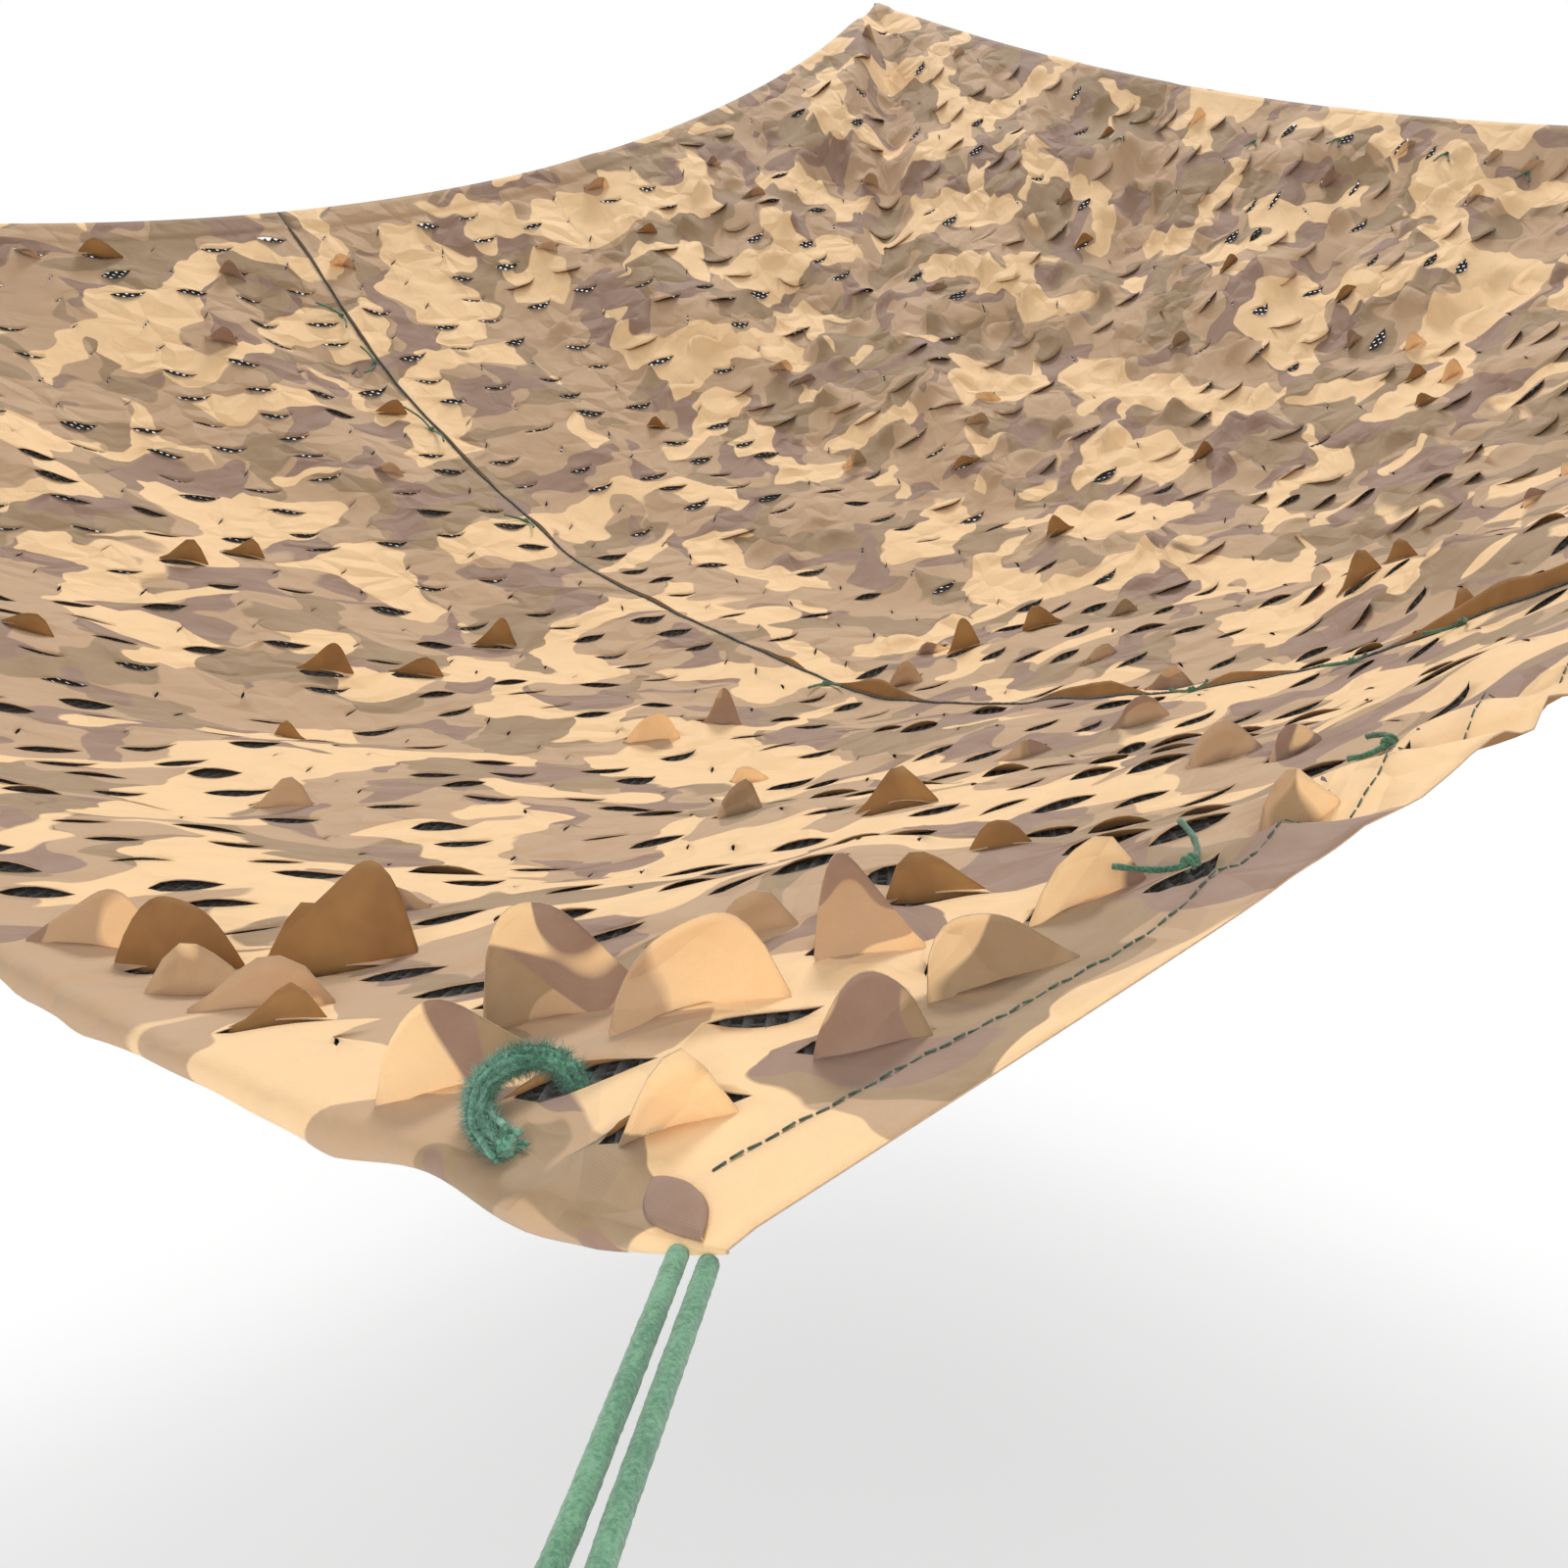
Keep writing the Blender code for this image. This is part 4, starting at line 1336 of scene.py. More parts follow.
@dataclass
class Tube:
    """A round cord swept along its points, a little uneven as spun cord is."""

    name: str
    points: list[Vector]
    radius: float
    sides: int = 12
    uneven: float = 0.05
    taper: float = 1.0
    seed: int = 1

    def frames(self) -> list[tuple[Vector, Vector]]:
        """Return two directions across the cord at each point.

        Returns:
            Pairs of unit vectors.
        """
        made = []
        over = None
        for k in range(len(self.points)):
            ahead = self.points[min(k + 1, len(self.points) - 1)]
            behind = self.points[max(k - 1, 0)]
            heading = (ahead - behind).normalized()
            if over is None:
                start = Vector((0.0, 0.0, 1.0))
                if abs(heading.dot(start)) > 0.9:
                    start = Vector((1.0, 0.0, 0.0))
                over = start
            over = (over - heading * over.dot(heading)).normalized()
            made.append((over.copy(), heading.cross(over).normalized()))
        return made

    def build(self) -> bpy.types.Object:
        """Build the cord's mesh.

        Returns:
            The closed tube.
        """
        dice = np.random.RandomState(self.seed)
        places, faces = [], []
        last = len(self.points) - 1
        for k, (here, (over, side)) in enumerate(zip(self.points, self.frames())):
            shrink = 1.0 - (1.0 - self.taper) * max(0.0, 2.0 * k / last - 1.0)
            for m in range(self.sides):
                angle = math.tau * m / self.sides
                reach = self.radius * shrink * (1.0 + self.uneven * (dice.rand() * 2 - 1))
                places.append(here + (over * math.cos(angle) + side * math.sin(angle)) * reach)
        for k in range(last):
            for m in range(self.sides):
                turn = (m + 1) % self.sides
                faces.append([k * self.sides + m, k * self.sides + turn,
                              (k + 1) * self.sides + turn, (k + 1) * self.sides + m])
        for k, first in ((0, True), (last, False)):
            centre = len(places)
            places.append(self.points[k])
            for m in range(self.sides):
                one, two = k * self.sides + m, k * self.sides + (m + 1) % self.sides
                faces.append([centre, two, one] if first else [centre, one, two])
        return mesh_object(self.name, np.array([tuple(q) for q in places]), faces)


@dataclass(frozen=True)
class Fuzz:
    """How many fibres stand off a cord, and how long and how wide they are."""

    count: int
    length: float
    width: float


@dataclass
class Fluff:
    """Short fibres that stand off a cord, each a thin closed spike."""

    name: str
    tube: Tube
    fuzz: Fuzz
    seed: int = 3

    def build(self) -> bpy.types.Object:
        """Build all of the fibres as one mesh.

        Returns:
            The joined fibres.
        """
        dice = np.random.RandomState(self.seed)
        frames = self.tube.frames()
        places, faces = [], []
        for _ in range(self.fuzz.count):
            k = dice.randint(0, len(frames) - 1)
            share, angle = dice.rand(), dice.rand() * math.tau
            over, side = frames[k]
            spoke = over * math.cos(angle) + side * math.sin(angle)
            heading = (self.tube.points[k + 1] - self.tube.points[k]).normalized()
            root = self.tube.points[k].lerp(self.tube.points[k + 1], share)
            root = root + spoke * (self.tube.radius * 0.85)
            lean = heading * float(dice.normal(0.0, 0.8)) + spoke
            lean = lean + over.cross(side) * float(dice.normal(0.0, 0.4))
            tip = root + lean.normalized() * self.fuzz.length * (0.4 + 0.8 * dice.rand())
            turned = spoke.cross(heading).normalized()
            first = len(places)
            for m in range(3):
                around = math.tau * m / 3
                places.append(root + (turned * math.cos(around) + heading * math.sin(around))
                              * self.fuzz.width)
            places.append(tip)
            faces += [[first, first + 1, first + 3], [first + 1, first + 2, first + 3],
                      [first + 2, first, first + 3], [first + 2, first + 1, first]]
        return mesh_object(self.name, np.array([tuple(q) for q in places]), faces)


@dataclass(frozen=True)
class Tie:
    """A thin tie: where its knot lies, and where its two free tails point."""

    name: str
    x: float
    y: float
    tail: float
    heading: float
    spread: float
    curl: float


@dataclass
class Ties:
    """The thin green ties along the seam, the far edge and the right hem."""

    cloth: list[BVHTree]
    radius: float = 0.0015
    clearance: float = CLEARANCE
    fuzz: Fuzz = Fuzz(160, 0.0022, 0.00010)
    knot_turns: float = 2.3
    knot_length: float = 4.6
    knot_reach: float = 1.75
    knot_lift: float = 1.6
    bow: float = 0.2
    probe: float = 0.06
    rounds: int = 12
    rows: tuple[Tie, ...] = (
        Tie("seam_tie_1", BESIDE_SEAM, 2.735, 0.042, 200.0, 110.0, 0.012),
        Tie("seam_tie_2", BESIDE_SEAM, 2.610, 0.040, 160.0, 120.0, 0.010),
        Tie("seam_tie_3", BESIDE_SEAM, 2.41, 0.060, 185.0, 150.0, 0.016),
        Tie("seam_tie_4", BESIDE_SEAM, 2.10, 0.036, 210.0, 90.0, 0.010),
        Tie("seam_tie_5", BESIDE_SEAM, 1.33, 0.034, 230.0, 80.0, 0.008),
        Tie("seam_tie_6", BESIDE_SEAM, 0.70, 0.034, 215.0, 70.0, 0.010),
        Tie("seam_tie_7", BESIDE_SEAM, 0.50, 0.030, 190.0, 100.0, 0.008),
        Tie("seam_tie_8", BESIDE_SEAM, 0.38, 0.034, 170.0, 90.0, 0.010),
        Tie("edge_tie_1", 2.810, 2.10, 0.026, 200.0, 60.0, 0.006),
        Tie("edge_tie_2", 2.880, 1.78, 0.026, 190.0, 60.0, 0.006),
        Tie("edge_tie_3", 2.900, 1.58, 0.028, 175.0, 60.0, 0.006),
        Tie("edge_tie_4", 2.900, 1.34, 0.030, 185.0, 60.0, 0.008),
        Tie("edge_tie_5", 2.890, 1.17, 0.026, 180.0, 60.0, 0.006),
        Tie("hem_tie_1", 0.390, 0.075, 0.036, 80.0, 80.0, 0.014),
        Tie("hem_tie_2", 0.600, 0.095, 0.026, 100.0, 80.0, 0.008),
    )

    def shortfall(self, place: Vector, up: Vector) -> float:
        """Return how far a tie's middle must rise to lie clear of the cloth.

        Args:
            place: The place of its middle.
            up: The direction off the cloth.

        Returns:
            The rise in metres.
        """
        hits = [tree.ray_cast(place + up * self.probe, -up, 2 * self.probe)
                for tree in self.cloth]
        heights = [(place - hit[0]).dot(up) for hit in hits if hit[0] is not None]
        needed = self.radius + self.clearance
        return max([needed - height for height in heights] + [0.0])

    def lay(self, points: list[Vector], up: Vector) -> list[Vector]:
        """Set a tie down on the cloth.

        Args:
            points: Its route.
            up: The direction off the cloth.

        Returns:
            The route, clear of the cloth all the way.
        """
        nearest = min(tree.find_nearest(place)[3] for tree in self.cloth for place in points)
        spare = max(0.0, nearest - self.radius - self.clearance)
        points = [place - up * spare for place in points]
        for _ in range(self.rounds):
            worst = 0.0
            for i, place in enumerate(points):
                rise = self.shortfall(place, up)
                points[i] = place + up * rise
                worst = max(worst, rise)
            if worst < self.clearance / 4:
                break
        return points

    def route(self, tie: Tie) -> list[Vector]:
        """Return one tie's route on the cloth.

        Args:
            tie: The tie.

        Returns:
            Its points.
        """
        ends = []
        for side in (-0.5, 0.5):
            heading = math.radians(tie.heading + side * tie.spread)
            reach = Vector((math.cos(heading), math.sin(heading)))
            bend = Vector((-reach.y, reach.x)) * (side * self.bow * tie.tail)
            middle = reach * (0.5 * tie.tail) + bend
            tip = reach * tie.tail
            ends.append(((tip.x, tip.y, tie.curl), (middle.x, middle.y, tie.curl * 0.5)))
        low = self.radius * self.knot_lift
        flat = [ends[0][0], ends[0][1], (0.0, 0.0, low), ends[1][1], ends[1][0]]
        through = [DRAPE.place(tie.x + x, tie.y + y, lift) for x, y, lift in flat]
        up = (DRAPE.place(tie.x, tie.y, self.radius) - DRAPE.place(tie.x, tie.y)).normalized()
        coarse = self.lay(Route(through, self.radius * 6.0).points(), up)
        return Route(coarse, self.radius * 1.5).points()

    def build(self, finish: bpy.types.Material) -> None:
        """Build every tie with its knot and fibres.

        Args:
            finish: The ties' material.
        """
        for number, tie in enumerate(self.rows):
            points = self.route(tie)
            tube = Tube(tie.name + "_yarn", points, self.radius, 10, 0.16, seed=number)
            yarn = settle(tube.build(), finish)
            fluff = settle(Fluff(tie.name + "_fibres", tube, self.fuzz, number).build(), finish)
            knot = settle(self.knot(tie.name + "_knot", points), finish)
            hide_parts(tie.name)
            length_of(points)
            2 * self.radius

    def knot(self, name: str, points: list[Vector]) -> bpy.types.Object:
        """Build the knot: two turns of the yarn round the tie's middle.

        Args:
            name: The piece's name.
            points: The tie's route.

        Returns:
            The knot.
        """
        k = len(points) // 2
        heading = (points[k + 1] - points[k - 1]).normalized()
        over = heading.cross(Vector((0.0, 0.0, 1.0))).normalized()
        side = heading.cross(over)
        turns, around = [], self.knot_turns * math.tau
        for step in range(41):
            share = step / 40
            angle = share * around
            turns.append(points[k] + heading * ((share - 0.5) * self.knot_length * self.radius)
                         + (over * math.cos(angle) + side * math.sin(angle))
                         * (self.knot_reach * self.radius))
        return Tube(name, turns, self.radius * 0.9, 8, 0.12).build()


@dataclass
class NearTie:
    """The thick frayed tie that goes down through a slit by the near corner."""

    radius: float = 0.0040
    strands: int = 7
    strand_share: float = 0.30
    twist: float = 0.8
    fray: float = 1.1
    fuzz: Fuzz = Fuzz(4600, 0.0065, 0.00020)
    route: tuple[Point, ...] = (
        (0.050, 0.128, 0.006),
        (0.053, 0.150, 0.008),
        (0.066, 0.169, 0.012),
        (0.085, 0.173, 0.014),
        (0.099, 0.165, 0.008),
        (0.105, 0.162, -0.009),
        (0.107, 0.162, -0.028),
    )

    def unlaid(self, points: list[Vector], k: int) -> list[Vector]:
        """Return the line of one strand, which winds about the tie and frays at its end.

        Args:
            points: The tie's own line.
            k: The strand's number.

        Returns:
            The strand's points.
        """
        made = []
        for index, point in enumerate(points[:-1]):
            share = index / (len(points) - 1)
            heading = (points[index + 1] - point).normalized()
            over = heading.orthogonal().normalized()
            side = heading.cross(over)
            angle = math.tau * (k / self.strands + self.twist * share)
            away = self.radius * (0.90 + self.fray * math.exp(-share * 7.0)
                                  * (0.5 + 0.5 * math.sin(2.3 * k)))
            made.append(point + (over * math.cos(angle) + side * math.sin(angle)) * away)
        return made

    def build(self, cloth: list[BVHTree], finish: bpy.types.Material) -> None:
        """Build the tie.

        Args:
            cloth: The panels.
            finish: The tie's material.
        """
        points = Route([DRAPE.place(*flat) for flat in self.route], self.radius * 0.6).points()
        x, y, _ = self.route[0]
        up = (points[0] - DRAPE.place(x, y)).normalized()
        for _ in range(4):
            nearest = min(tree.find_nearest(place)[3] for tree in cloth for place in points)
            spare = max(0.0, nearest - self.radius - CLEARANCE)
            points = [place - up * spare for place in points]
        tube = Tube("near_tie_yarn", points, self.radius, 18, 0.20, seed=8)
        yarn = settle(tube.build(), finish)
        pieces = [Fluff("near_tie_fibres", tube, self.fuzz).build()]
        for k in range(self.strands):
            strand = Tube("near_tie_strand", self.unlaid(points, k),
                          self.radius * self.strand_share, 7, 0.25, seed=20 + k)
            pieces.append(strand.build())
        pick(*pieces)
        bpy.ops.object.join()
        fluff = settle(bpy.context.object, finish)
        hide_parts("near_tie")
        length_of(points)
        2 * self.radius


@dataclass
class CornerLoops:
    """The doubled cords that hold the four corners."""

    radius: float = 0.0035
    reach: float = 0.160
    bend: float = 0.019
    drop: float = 0.0045
    straight: tuple[float, float, float] = (0.030, 0.070, 0.138)
    spread: tuple[float, float, float] = (0.0050, 0.0050, 0.0060)
    turn: tuple[float, float, float] = (132.0, 90.0, 45.0)
    half_apart: float = 0.0050
    seat_from: float = 0.020
    seat_step: float = 0.0001
    seated: float = 0.8
    visible: float = 0.98
    fuzz: Fuzz = Fuzz(2600, 0.0010, 0.00009)
    corners: tuple[tuple[str, Point, Point], ...] = (
        ("near_loop", (-2.852, -2.742, -1.171), (-0.770, -0.638, 0.0)),
        ("right_loop", (-0.042, -2.748, -0.545), (0.70, -0.70, 0.08)),
        ("left_loop", (-2.852, 0.031, -0.641), (-0.70, 0.70, 0.08)),
        ("far_loop", (0.0, 0.0, 0.0), (0.70, 0.70, 0.06)),
    )

    def seat(self, start: Vector, outward: Vector, cloth: list[BVHTree]) -> Vector:
        """Bring a strand's end in from outside until it just meets the cloth.

        Args:
            start: Where the strand would start.
            outward: The way that it is pulled.
            cloth: The panels.

        Returns:
            Where it starts.
        """
        place = start + outward * self.seat_from
        for _ in range(round(2 * self.seat_from / self.seat_step)):
            near = min(tree.find_nearest(place)[3] for tree in cloth)
            if near <= self.radius * self.seated:
                break
            place = place - outward * self.seat_step
        return place

    def loop_points(self, corner: Vector, outward: Vector, cloth: list[BVHTree]) -> list[Vector]:
        """Return a loop's route: out, round a turn and back.

        Args:
            corner: The cloth's corner.
            outward: The way that the loop is pulled.
            cloth: The panels.

        Returns:
            The loop's points.
        """
        side = Vector((-outward.y, outward.x, 0.0)).normalized()
        drop = Vector((0.0, 0.0, -self.drop))
        turn_at = self.reach + self.bend
        shape = list(zip(self.straight, self.spread))
        for degrees in self.turn:
            angle = math.radians(degrees)
            shape.append((turn_at + self.bend * math.cos(angle), self.bend * math.sin(angle)))
        strands = []
        for hand in (1, -1):
            start = corner + side * (self.half_apart * hand) + drop
            strand = [self.seat(start, outward, cloth)]
            strand += [corner + drop + outward * a + side * (b * hand) for a, b in shape]
            strands.append(strand)
        tip = corner + drop + outward * (turn_at + self.bend)
        return Route(strands[0] + [tip] + strands[1][::-1], self.radius * 0.5).points()

    def build(self, cloth: list[BVHTree], finish: bpy.types.Material) -> None:
        """Build every loop with its fuzz.

        Args:
            cloth: The panels.
            finish: The loops' material.
        """
        for number, (name, corner, outward) in enumerate(self.corners):
            points = self.loop_points(Vector(corner), Vector(outward).normalized(), cloth)
            tube = Tube(name + "_cord", points, self.radius * self.visible, 20, 0.035,
                        seed=number)
            cord = settle(tube.build(), finish)
            fluff = settle(Fluff(name + "_fuzz", tube, self.fuzz, number).build(), finish)
            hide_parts(name)
            length_of(points)
            2 * self.radius


@dataclass
class SeamCord:
    """The dark cord that runs down the seam."""

    radius: float = 0.0020
    uneven: float = 0.22
    spans: int = 1200

    def build(self, finish: bpy.types.Material) -> bpy.types.Object:
        """Build the cord as one uneven spun yarn along the seam's line.

        Args:
            finish: The cord's material.

        Returns:
            The cord.
        """
        ys = np.linspace(0.0, DRAPE.side, self.spans + 1)
        line = DRAPE.places(np.column_stack([np.full_like(ys, SEAM_AT), ys, np.zeros_like(ys)]))
        middle = [Vector(q) for q in line]
        cord = Tube("seam_cord_yarn", middle, self.radius, 8, self.uneven, seed=4).build()
        cord = settle(cord, finish)
        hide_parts("seam_cord")
        return cord


@dataclass
class CornerTuck:
    """The end of the rolled hem, tucked over at the near corner with a turned lip; its print is
    shifted so that plum lies on the fold, as print and as painted shade of the fold.
    """

    base: tuple[tuple[float, float], ...] = ((0.061, 0.058), (0.036, 0.042), (0.043, 0.010))
    lip: tuple[tuple[float, float], ...] = ((0.061, 0.058), (0.069, 0.024), (0.043, 0.010))
    # Shifts the print so plum lies on the tuck, painting the fold's shade in print colour.
    plum_shade_print_shift: tuple[float, float] = (0.120, 0.030)
    rise: float = 0.0055
    rows: int = 14
    steps: int = 24
    thickness: float = 0.0009
    clearance: float = 0.0012
    settle_by: float = 0.0010
    turned_from: float = 0.86
    turned_under: float = 0.55

    def curve(self, corners: tuple[tuple[float, float], ...], share: float) -> np.ndarray:
        """Return a flat place on a curve that its middle corner pulls aside."""
        one, two, three = (np.array(corner) for corner in corners)
        return (one * (1.0 - share) ** 2 + two * (2.0 * share * (1.0 - share))
                + three * share ** 2)

    def build(self, *finish: bpy.types.Material) -> bpy.types.Object:
        """Build the tuck.

        Args:
            finish: The cloth's face, back and edge.

        Returns:
            The tuck.
        """
        flat, prints = [], []
        for a in range(self.steps + 1):
            along = 0.02 + 0.96 * a / self.steps
            start, end = self.curve(self.base, along), self.curve(self.lip, along)
            swell = math.sin(math.pi * along) ** 0.6
            for b in range(self.rows + 1):
                across = b / self.rows
                place = start + (end - start) * across
                rounded = math.sin(math.pi * min(1.0, across * 0.62)) ** 0.8
                under = max(0.0, (across - self.turned_from) / (1.0 - self.turned_from)) ** 2
                lift = self.clearance + self.rise * swell * (rounded - self.turned_under * under)
                lift -= self.settle_by * (1.0 - across)
                flat.append((place[0], place[1], lift))
                prints.append((place[0] + self.plum_shade_print_shift[0], place[1] + self.plum_shade_print_shift[1]))
        piece = mesh_object("corner_tuck", DRAPE.places(np.array(flat)),
                            grid_faces(self.steps + 1, self.rows + 1), np.array(prints))
        thicken(piece, self.thickness)
        return settle(piece, *finish)


@dataclass
class SupportMesh:
    """The string mesh under the cloth; its near-black strings paint the shade of the ground seen
    through the open cuts.
    """

    pitch: float = 0.0095
    string: float = 0.0027
    under: float = 0.0062
    depth: float = 1.1
    apart: float = 0.0008
    margin: float = 0.062
    segment: float = 0.030

    def strings(self, slope: int) -> list[np.ndarray]:
        """Return the flat lines of one family of slanting strings.

        Args:
            slope: 1 for strings that slant up, -1 for those that slant down.

        Returns:
            The points of each string.
        """
        low, high = self.margin, DRAPE.side - self.margin
        step = self.pitch * math.sqrt(2.0)
        lines = []
        first = low - high if slope > 0 else 2.0 * low
        for offset in np.arange(first + step, first + 2.0 * (high - low), step):
            if slope > 0:
                start, end = max(low, low - offset), min(high, high - offset)
            else:
                start, end = max(low, offset - high), min(high, offset - low)
            length = (end - start) * math.sqrt(2.0)
            if length < 3.0 * self.pitch:
                continue
            x = np.linspace(start, end, max(2, round(length / self.segment)) + 1)
            y = x + offset if slope > 0 else offset - x
            lines.append(np.column_stack([x, y, np.full_like(x, -self.under)]))
        return lines

    def build(self, finish: bpy.types.Material) -> list[bpy.types.Object]:
        """Build both families of strings, each joined as one mesh.

        Args:
            finish: The strings' material.

        Returns:
            The two families.
        """
        made = []
        for slope, name in ((1, "support_mesh_up"), (-1, "support_mesh_down")):
            places, faces, first = [], [], 0
            across = np.array([1.0, -slope]) / math.sqrt(2.0)
            for line in self.strings(slope):
                rings = []
                for side, over in ((-1.0, 0.0), (1.0, 0.0), (0.0, self.depth)):
                    ring = line.copy()
                    ring[:, :2] += across * (side * self.string)
                    ring[:, 2] += over * self.string + self.apart * slope
                    rings.append(ring)
                count = len(line)
                places.append(np.vstack(rings))
                for one, two in ((0, 1), (1, 2), (2, 0)):
                    start, other = first + one * count, first + two * count
                    quads = [[start + k, start + k + 1, other + k + 1, other + k]
                             for k in range(count - 1)]
                    faces += quads if slope < 0 else [quad[::-1] for quad in quads]
                ends = [[first, first + count, first + 2 * count],
                        [first + 3 * count - 1, first + 2 * count - 1, first + count - 1]]
                faces += ends if slope < 0 else [end[::-1] for end in ends]
                first += 3 * count
            piece = mesh_object(name, DRAPE.places(np.vstack(places)), faces)
            made.append(settle(piece, finish))
        return made


@dataclass
class HemStitching:
    """The dark stitches along the right hem's inner edge."""

    y: float = DRAPE.stitch_line
    start: float = 0.078
    end: float = 2.95
    pitch: float = 0.0078
    length: float = 0.0060
    width: float = 0.0010
    lift: float = 0.0018
    probe: float = 0.002

    def line(self, xs: np.ndarray, ahead: float, lift: float) -> np.ndarray:
        """Return hung places a step ahead of the stitches, on their swaying line."""
        sway = 0.0008 * np.sin(xs * 9.0) + 0.0003 * np.sin(xs * 31.0)
        return DRAPE.places(np.column_stack([xs + ahead, self.y + sway, np.full_like(xs, lift)]))

    def stitch(self) -> bpy.types.Object:
        """Model one stitch from a block with rounded edges.

        Returns:
            The stitch, lying along X.
        """
        bpy.ops.mesh.primitive_cube_add(size=1.0, scale=(self.length, self.width, self.width))
        made = bpy.context.object
        bpy.ops.object.mode_set(mode="EDIT")
        bpy.ops.mesh.select_all(action="SELECT")
        bpy.ops.mesh.bevel(offset=self.width * 0.3, segments=1, affect="EDGES")
        bpy.ops.object.mode_set(mode="OBJECT")
        bpy.ops.object.transform_apply(location=False, rotation=False, scale=True)
        return made

    def build(self, finish: bpy.types.Material) -> bpy.types.Object:
        """Lay copies of the stitch along the hem, joined as one mesh.

        Args:
            finish: The thread's material.

        Returns:
            The stitching.
        """
        one = self.stitch()
        shape = np.array([tuple(v.co) for v in one.data.vertices])
        faces = [list(f.vertices) for f in one.data.polygons]
        bpy.data.objects.remove(one)
        xs = np.arange(self.start, self.end, self.pitch)
        ahead = self.line(xs, self.probe, self.lift)
        back = self.line(xs, -self.probe, self.lift)
        over = self.line(xs, 0.0, self.lift + self.probe)
        places, all_faces = [], []
        for a, b, c in zip(ahead, back, over):
            middle = (a + b) / 2
            heading = (a - b) / np.linalg.norm(a - b)
            up = (c - middle) / np.linalg.norm(c - middle)
            side = np.cross(up, heading)
            first = len(places) * len(shape)
            places.append(middle + shape @ np.array([heading, side, up]))
            all_faces += [[v + first for v in face] for face in faces]
        stitches = mesh_object("hem_stitching", np.vstack(places), all_faces)
        stitches = settle(stitches, finish)
        return stitches


# The studio


@dataclass(frozen=True)
class Lamp:
    """A soft square lamp, where it hangs and what it points at."""

    name: str
    place: Point
    aim: Point
    size: float
    power: float

    def hang(self) -> None:
        """Add the lamp to the scene."""
        lamp = bpy.data.lights.new(self.name, "AREA")
        lamp.size = self.size
        lamp.energy = self.power
        made = bpy.data.objects.new(self.name, lamp)
        bpy.context.scene.collection.objects.link(made)
        made.location = self.place
        aim = Vector(self.aim) - Vector(self.place)
        made.rotation_euler = aim.to_track_quat("-Z", "Y").to_euler()


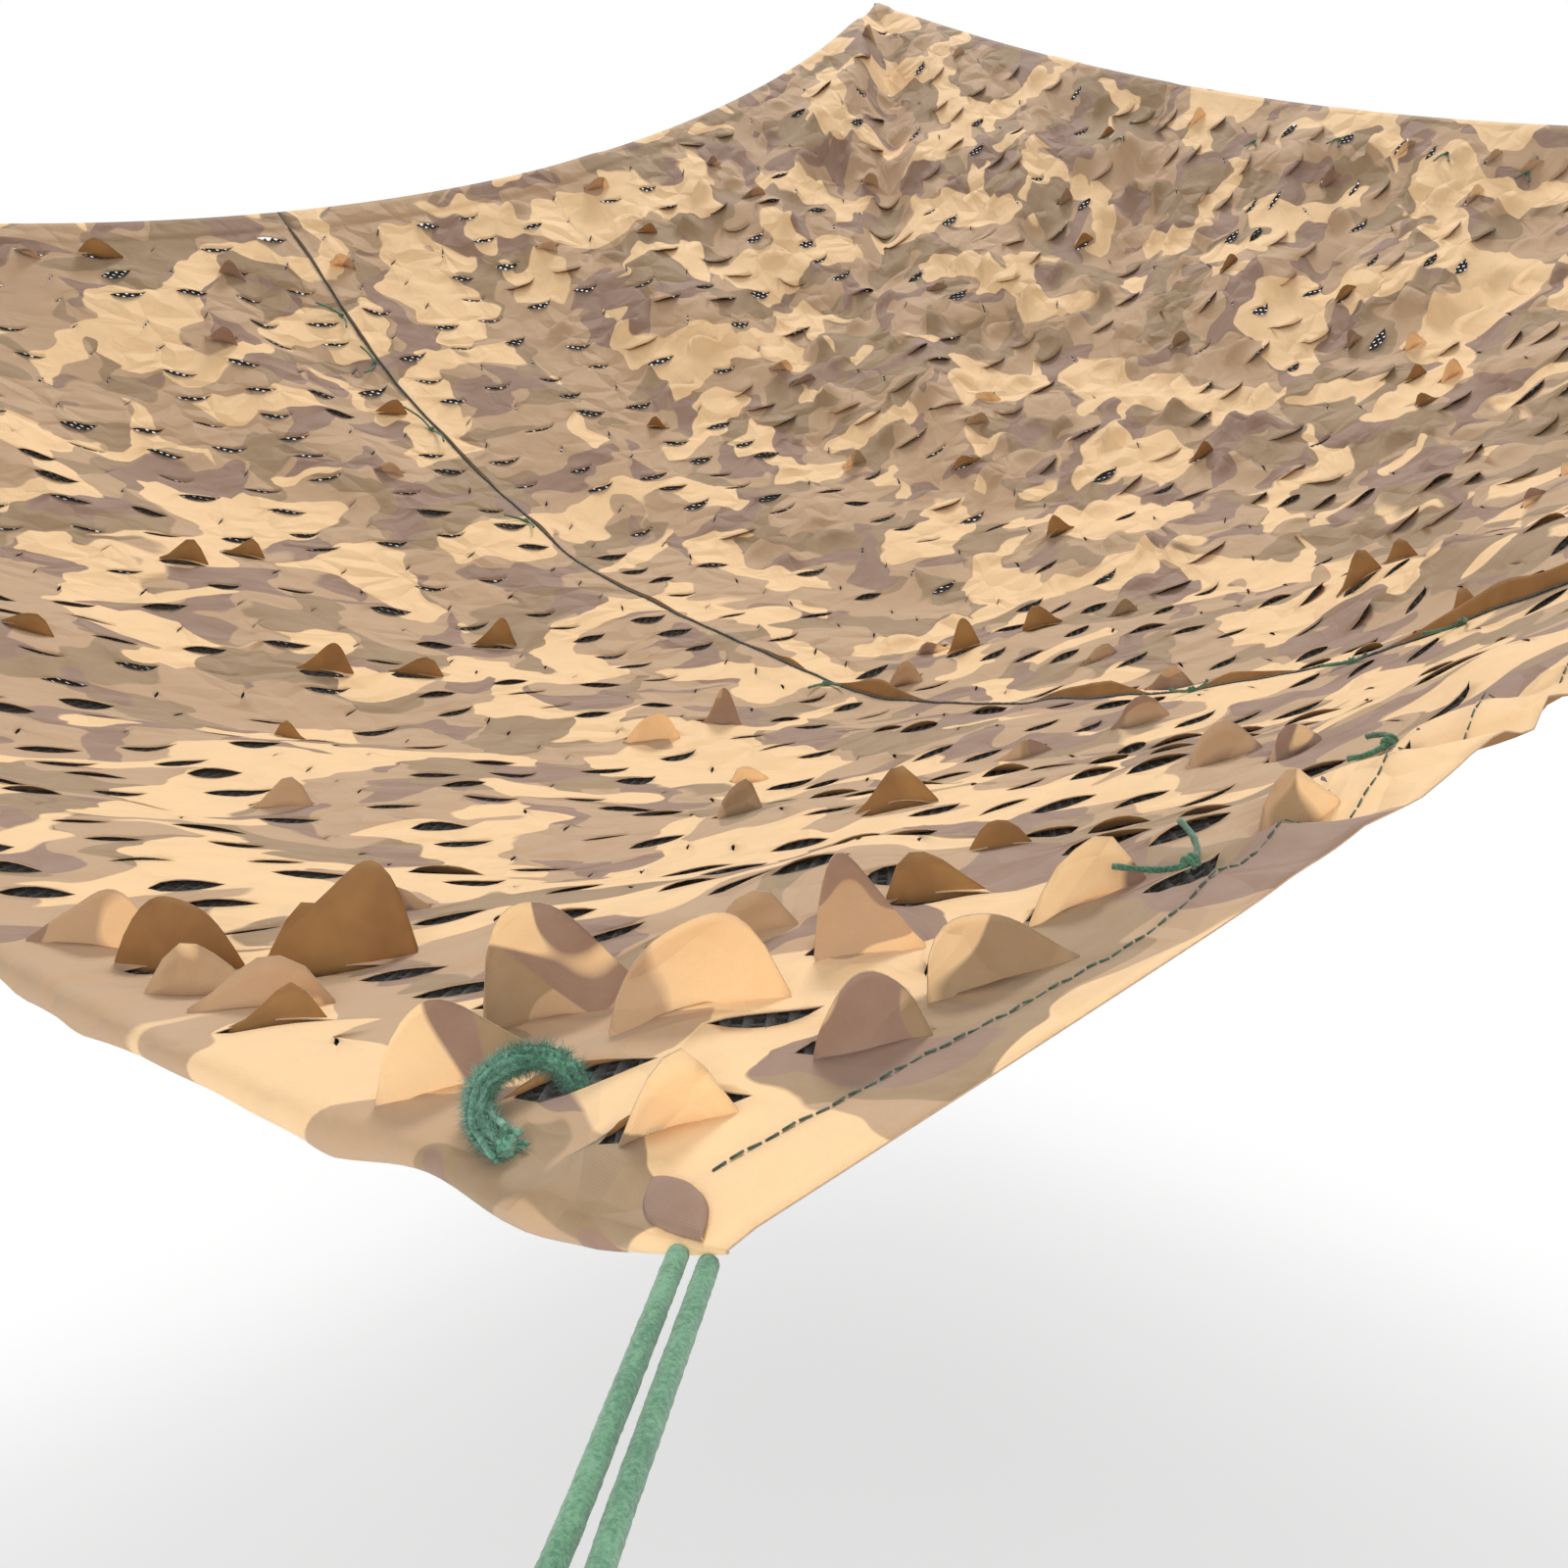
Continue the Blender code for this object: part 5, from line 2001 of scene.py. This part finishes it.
@dataclass
class Studio:
    """The camera, the lights and the pale floor."""

    lens: float = 38.14
    sensor: float = 36.0
    yaw: float = 47.5536
    pitch: float = -13.2257
    roll: float = 0.0533
    from_near_corner: Point = (-0.2737, -0.3340, 0.2430)
    floor_drop: float = 1.07
    floor_size: float = 60.0
    surround: float = 0.52
    white: Colour = (1.0, 1.0, 1.0, 1.0)
    lamps: tuple[Lamp, ...] = (
        Lamp("overhead", (5.6, 4.5, 9.8), (-1.4, -1.4, -0.8), 4.0, 1300.0),
        Lamp("front_fill", (-4.4, -4.3, -0.1), (-2.6, -2.5, -1.1), 1.2, 36.0),
    )

    def camera(self) -> None:
        """Set the camera where the photograph was taken from."""
        made = bpy.data.objects.new("view", bpy.data.cameras.new("view"))
        bpy.context.scene.collection.objects.link(made)
        made.data.sensor_width = self.sensor
        made.data.lens = self.lens
        made.data.clip_start = 0.01
        yaw, pitch, roll = (math.radians(a) for a in (self.yaw, self.pitch, self.roll))
        ahead = Vector((math.cos(pitch) * math.cos(yaw), math.cos(pitch) * math.sin(yaw),
                        math.sin(pitch)))
        right = Vector((math.sin(yaw), -math.cos(yaw), 0.0))
        over = right.cross(ahead)
        rolled = right * math.cos(roll) + over * math.sin(roll)
        over = over * math.cos(roll) - right * math.sin(roll)
        frame = Matrix((rolled, over, -ahead)).transposed().to_4x4()
        frame.translation = Vector(DRAPE.near) + Vector(self.from_near_corner)
        made.matrix_world = frame
        bpy.context.scene.camera = made

    def floor(self, finish: bpy.types.Material) -> None:
        """Lay the pale floor.

        Args:
            finish: The floor's material.
        """
        bpy.ops.mesh.primitive_plane_add(size=self.floor_size,
                                         location=(0.0, 0.0, DRAPE.near[2] - self.floor_drop))
        made = bpy.context.object
        made.name = "studio_floor"
        made.data.materials.append(finish)

    def lights(self) -> None:
        """Hang the lamps in a pale surround that the camera sees as white."""
        world = bpy.data.worlds.new("surround")
        bpy.context.scene.world = world
        world.use_nodes = True
        sky = world.node_tree.nodes["Background"]
        sky.inputs["Color"].default_value = self.white
        sky.inputs["Strength"].default_value = self.surround
        bright = world.node_tree.nodes.new("ShaderNodeBackground")
        seen = world.node_tree.nodes.new("ShaderNodeLightPath")
        either = world.node_tree.nodes.new("ShaderNodeMixShader")
        join = world.node_tree.links.new
        join(seen.outputs["Is Camera Ray"], either.inputs[0])
        join(sky.outputs[0], either.inputs[1])
        join(bright.outputs[0], either.inputs[2])
        join(either.outputs[0], world.node_tree.nodes["World Output"].inputs["Surface"])
        bright.inputs["Color"].default_value = self.white
        bpy.context.scene.view_settings.view_transform = "Standard"
        for lamp in self.lamps:
            lamp.hang()


def tree_of(piece: bpy.types.Object) -> BVHTree:
    """Return a tree for distances to a piece's faces."""
    return BVHTree.FromObject(piece, bpy.context.evaluated_depsgraph_get())


def main() -> None:
    """Build every piece in order, then the studio."""
    logging.basicConfig(level=logging.INFO, format="%(message)s")
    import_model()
    studio = Studio()
    studio.camera()
    cloth = (BlotchedCloth().material(), BrownUnderside().material(), CutEdge().material())
    plan = CutPlan()
    near = ClothPanel("near_panel", DRAPE.hem, SEAM_AT - SEAM_HALF, NEAR_CELLS, plan)
    far = SeamedPanel("far_panel", SEAM_AT + SEAM_HALF + TURNED_EDGE_GAP, DRAPE.side - DRAPE.hem,
                      FAR_CELLS, plan)
    panels = []
    for panel in (near, far):
        piece = settle(panel.build(), *cloth)
        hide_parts(panel.name)
        panels.append(piece)
        log.info("%s: %d faces", piece.name, len(piece.data.polygons))
    trees = [tree_of(piece) for piece in panels]
    CornerLoops().build(trees, LOOP_CORD.material())
    Ties(trees).build(TIE_CORD.material())
    NearTie().build(trees, FRAYED_CORD.material())
    log.info("cords laid")
    SeamCord().build(DARK_CORD.material())
    stitching = HemStitching().build(STITCH_THREAD.material())
    tuck = CornerTuck().build(*cloth)
    # The support mesh's dark strings paint the shade seen through the open cuts.
    strings = SupportMesh().build(SHADE_DARK_MESH_STRING.material())
    log.info("support mesh: %d faces", sum(len(piece.data.polygons) for piece in strings))
    studio.floor(StudioFloor().material())
    studio.lights()
    log.info("studio set")


if __name__ == "__main__":
    main()
